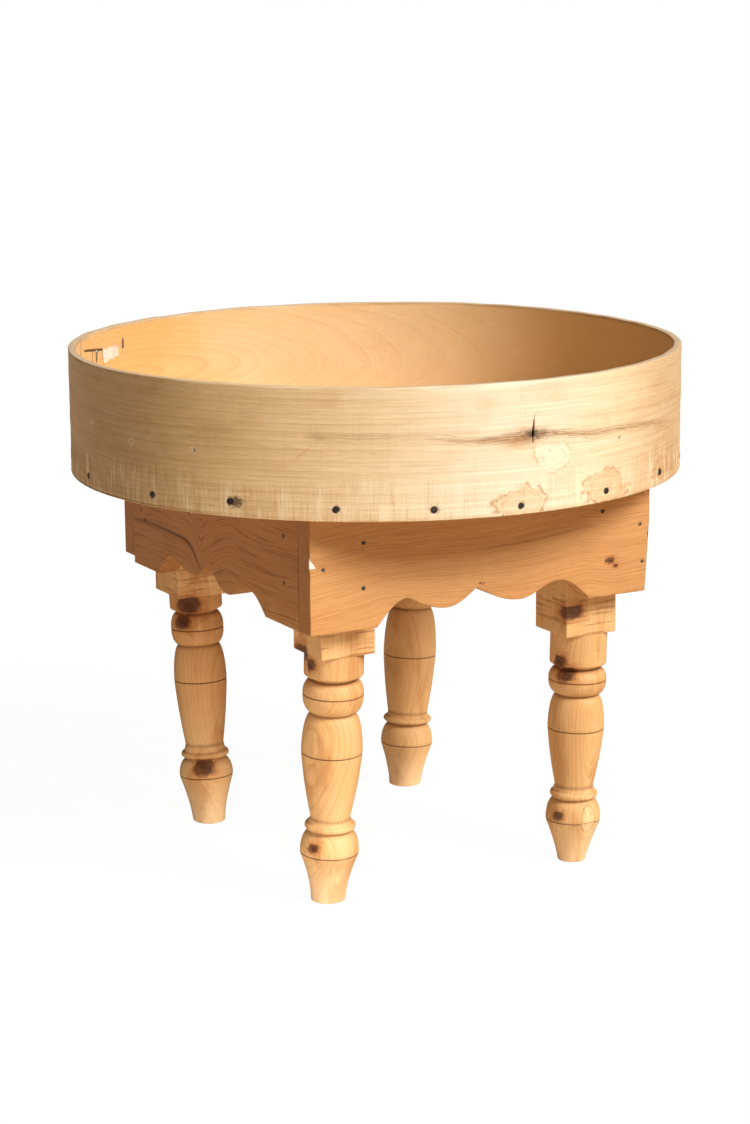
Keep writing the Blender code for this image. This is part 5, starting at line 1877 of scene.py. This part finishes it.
def make_clinch(number, angle, height, bent):
    out = np.array([math.cos(math.radians(angle)), math.sin(math.radians(angle)), 0.0])
    inside = wall_at(LAP_START - angle, 0)
    outside = wall_at(LAP_START - angle + 360, 1)
    level = np.array([0, 0, HOOP_BOTTOM + height])
    head = out * (outside - 0.0002) + level
    corner = out * (inside - 0.0011) + level
    path = [head, head - out * 0.0005, head - out * 0.0011, head - out * 0.0012, head - out * 0.004,
            corner + out * 0.002]
    radii = [0.0013, 0.0023, 0.0023, 0.0012, 0.0011, 0.0011]
    flats = [1, 1, 1, 1, 1, 1]
    up = math.copysign(1, bent)
    for share in (0.15, 0.35, 0.6, 0.85):
        a = share * PI / 2
        rise = up * BEND * (1 - math.cos(a))
        path.append(corner + out * BEND * (1 - math.sin(a)) + np.array([0, 0, rise]))
        radii.append(0.0011)
        flats.append(0.9)
    for share in (0.25, 0.5, 0.75, 0.92, 1.0):
        rise = up * (BEND + (abs(bent) - BEND) * share)
        path.append(corner + np.array([0, 0, rise]) + out * 0.0003 * share)
        radii.append(0.0011 - 0.0006 * share ** 3)
        flats.append(0.75)
    piece = skin(f"clinched_nail_{number}", tube(path, radii, flats), {}, 50)
    finish_piece(piece, bright_steel, "bright_steel", f"clinch_nail_{number}")


for number, (angle, height, bent) in enumerate(CLINCH, start=1):
    make_clinch(number, angle, height, bent)

# %% [markdown]
# ## A scrap of paper
# A blank scrap of an old paper label still sticks to the inside by the lap.  It is one thin
# sheet that follows the wall, with torn edges and one corner lifting.

# %% Paper scrap
SCRAP_CORNERS = ((133.0, 87.5), (133.4, 102.0), (126.6, 103.0), (126.2, 91.5))  # angle, height in mm


def make_scrap(columns=28, rows=18):
    corners = np.array(SCRAP_CORNERS)
    loops = []
    for i in range(columns + 1):
        s = i / columns
        face, back = [], []
        for j in range(rows + 1):
            t = j / rows
            low = corners[0] * (1 - s) + corners[3] * s
            high = corners[1] * (1 - s) + corners[2] * s
            angle, height = low * (1 - t) + high * t
            spot = np.array([[s * 0.04, t * 0.02, 0.0]])
            if j in (0, rows):
                height += float(uneven(spot, 0.006, 80 + j)[0]) * 0.5
            if i in (0, columns):
                angle += float(uneven(spot, 0.005, 90 + i)[0]) * 0.12
            lift = 0.0004 + 0.0022 * max(0.0, s + t - 1.45) ** 2 * 4
            inner = wall_at(LAP_START - angle, 0)
            for target, more in ((face, lift + 0.00018), (back, lift)):
                radius = inner - more
                turn = math.radians(angle)
                target.append((radius * math.cos(turn), radius * math.sin(turn),
                               HOOP_BOTTOM + height * MM))
        loops.append(face + back[::-1])
    return skin("paper_scrap", loops, {}, 60)


def paper_material():
    made, recipe = new_material("old paper")
    place = recipe.node("ShaderNodeTexCoord").outputs["Object"]
    cloud = recipe.noise(place, (60, 60, 60), detail=4)
    colour = recipe.paint(recipe.ramp(cloud, 0.35, 0.7), (0.92, 0.74, 0.64), (0.80, 0.60, 0.49))
    fibres = recipe.noise(place, (1400, 1400, 1400), detail=3, shift=2.0)
    recipe.surface(colour, recipe.plus(0.75, recipe.times(fibres, 0.15)), fibres, strength=0.5)
    return made


finish_piece(make_scrap(), paper_material(), "hoop_wood")
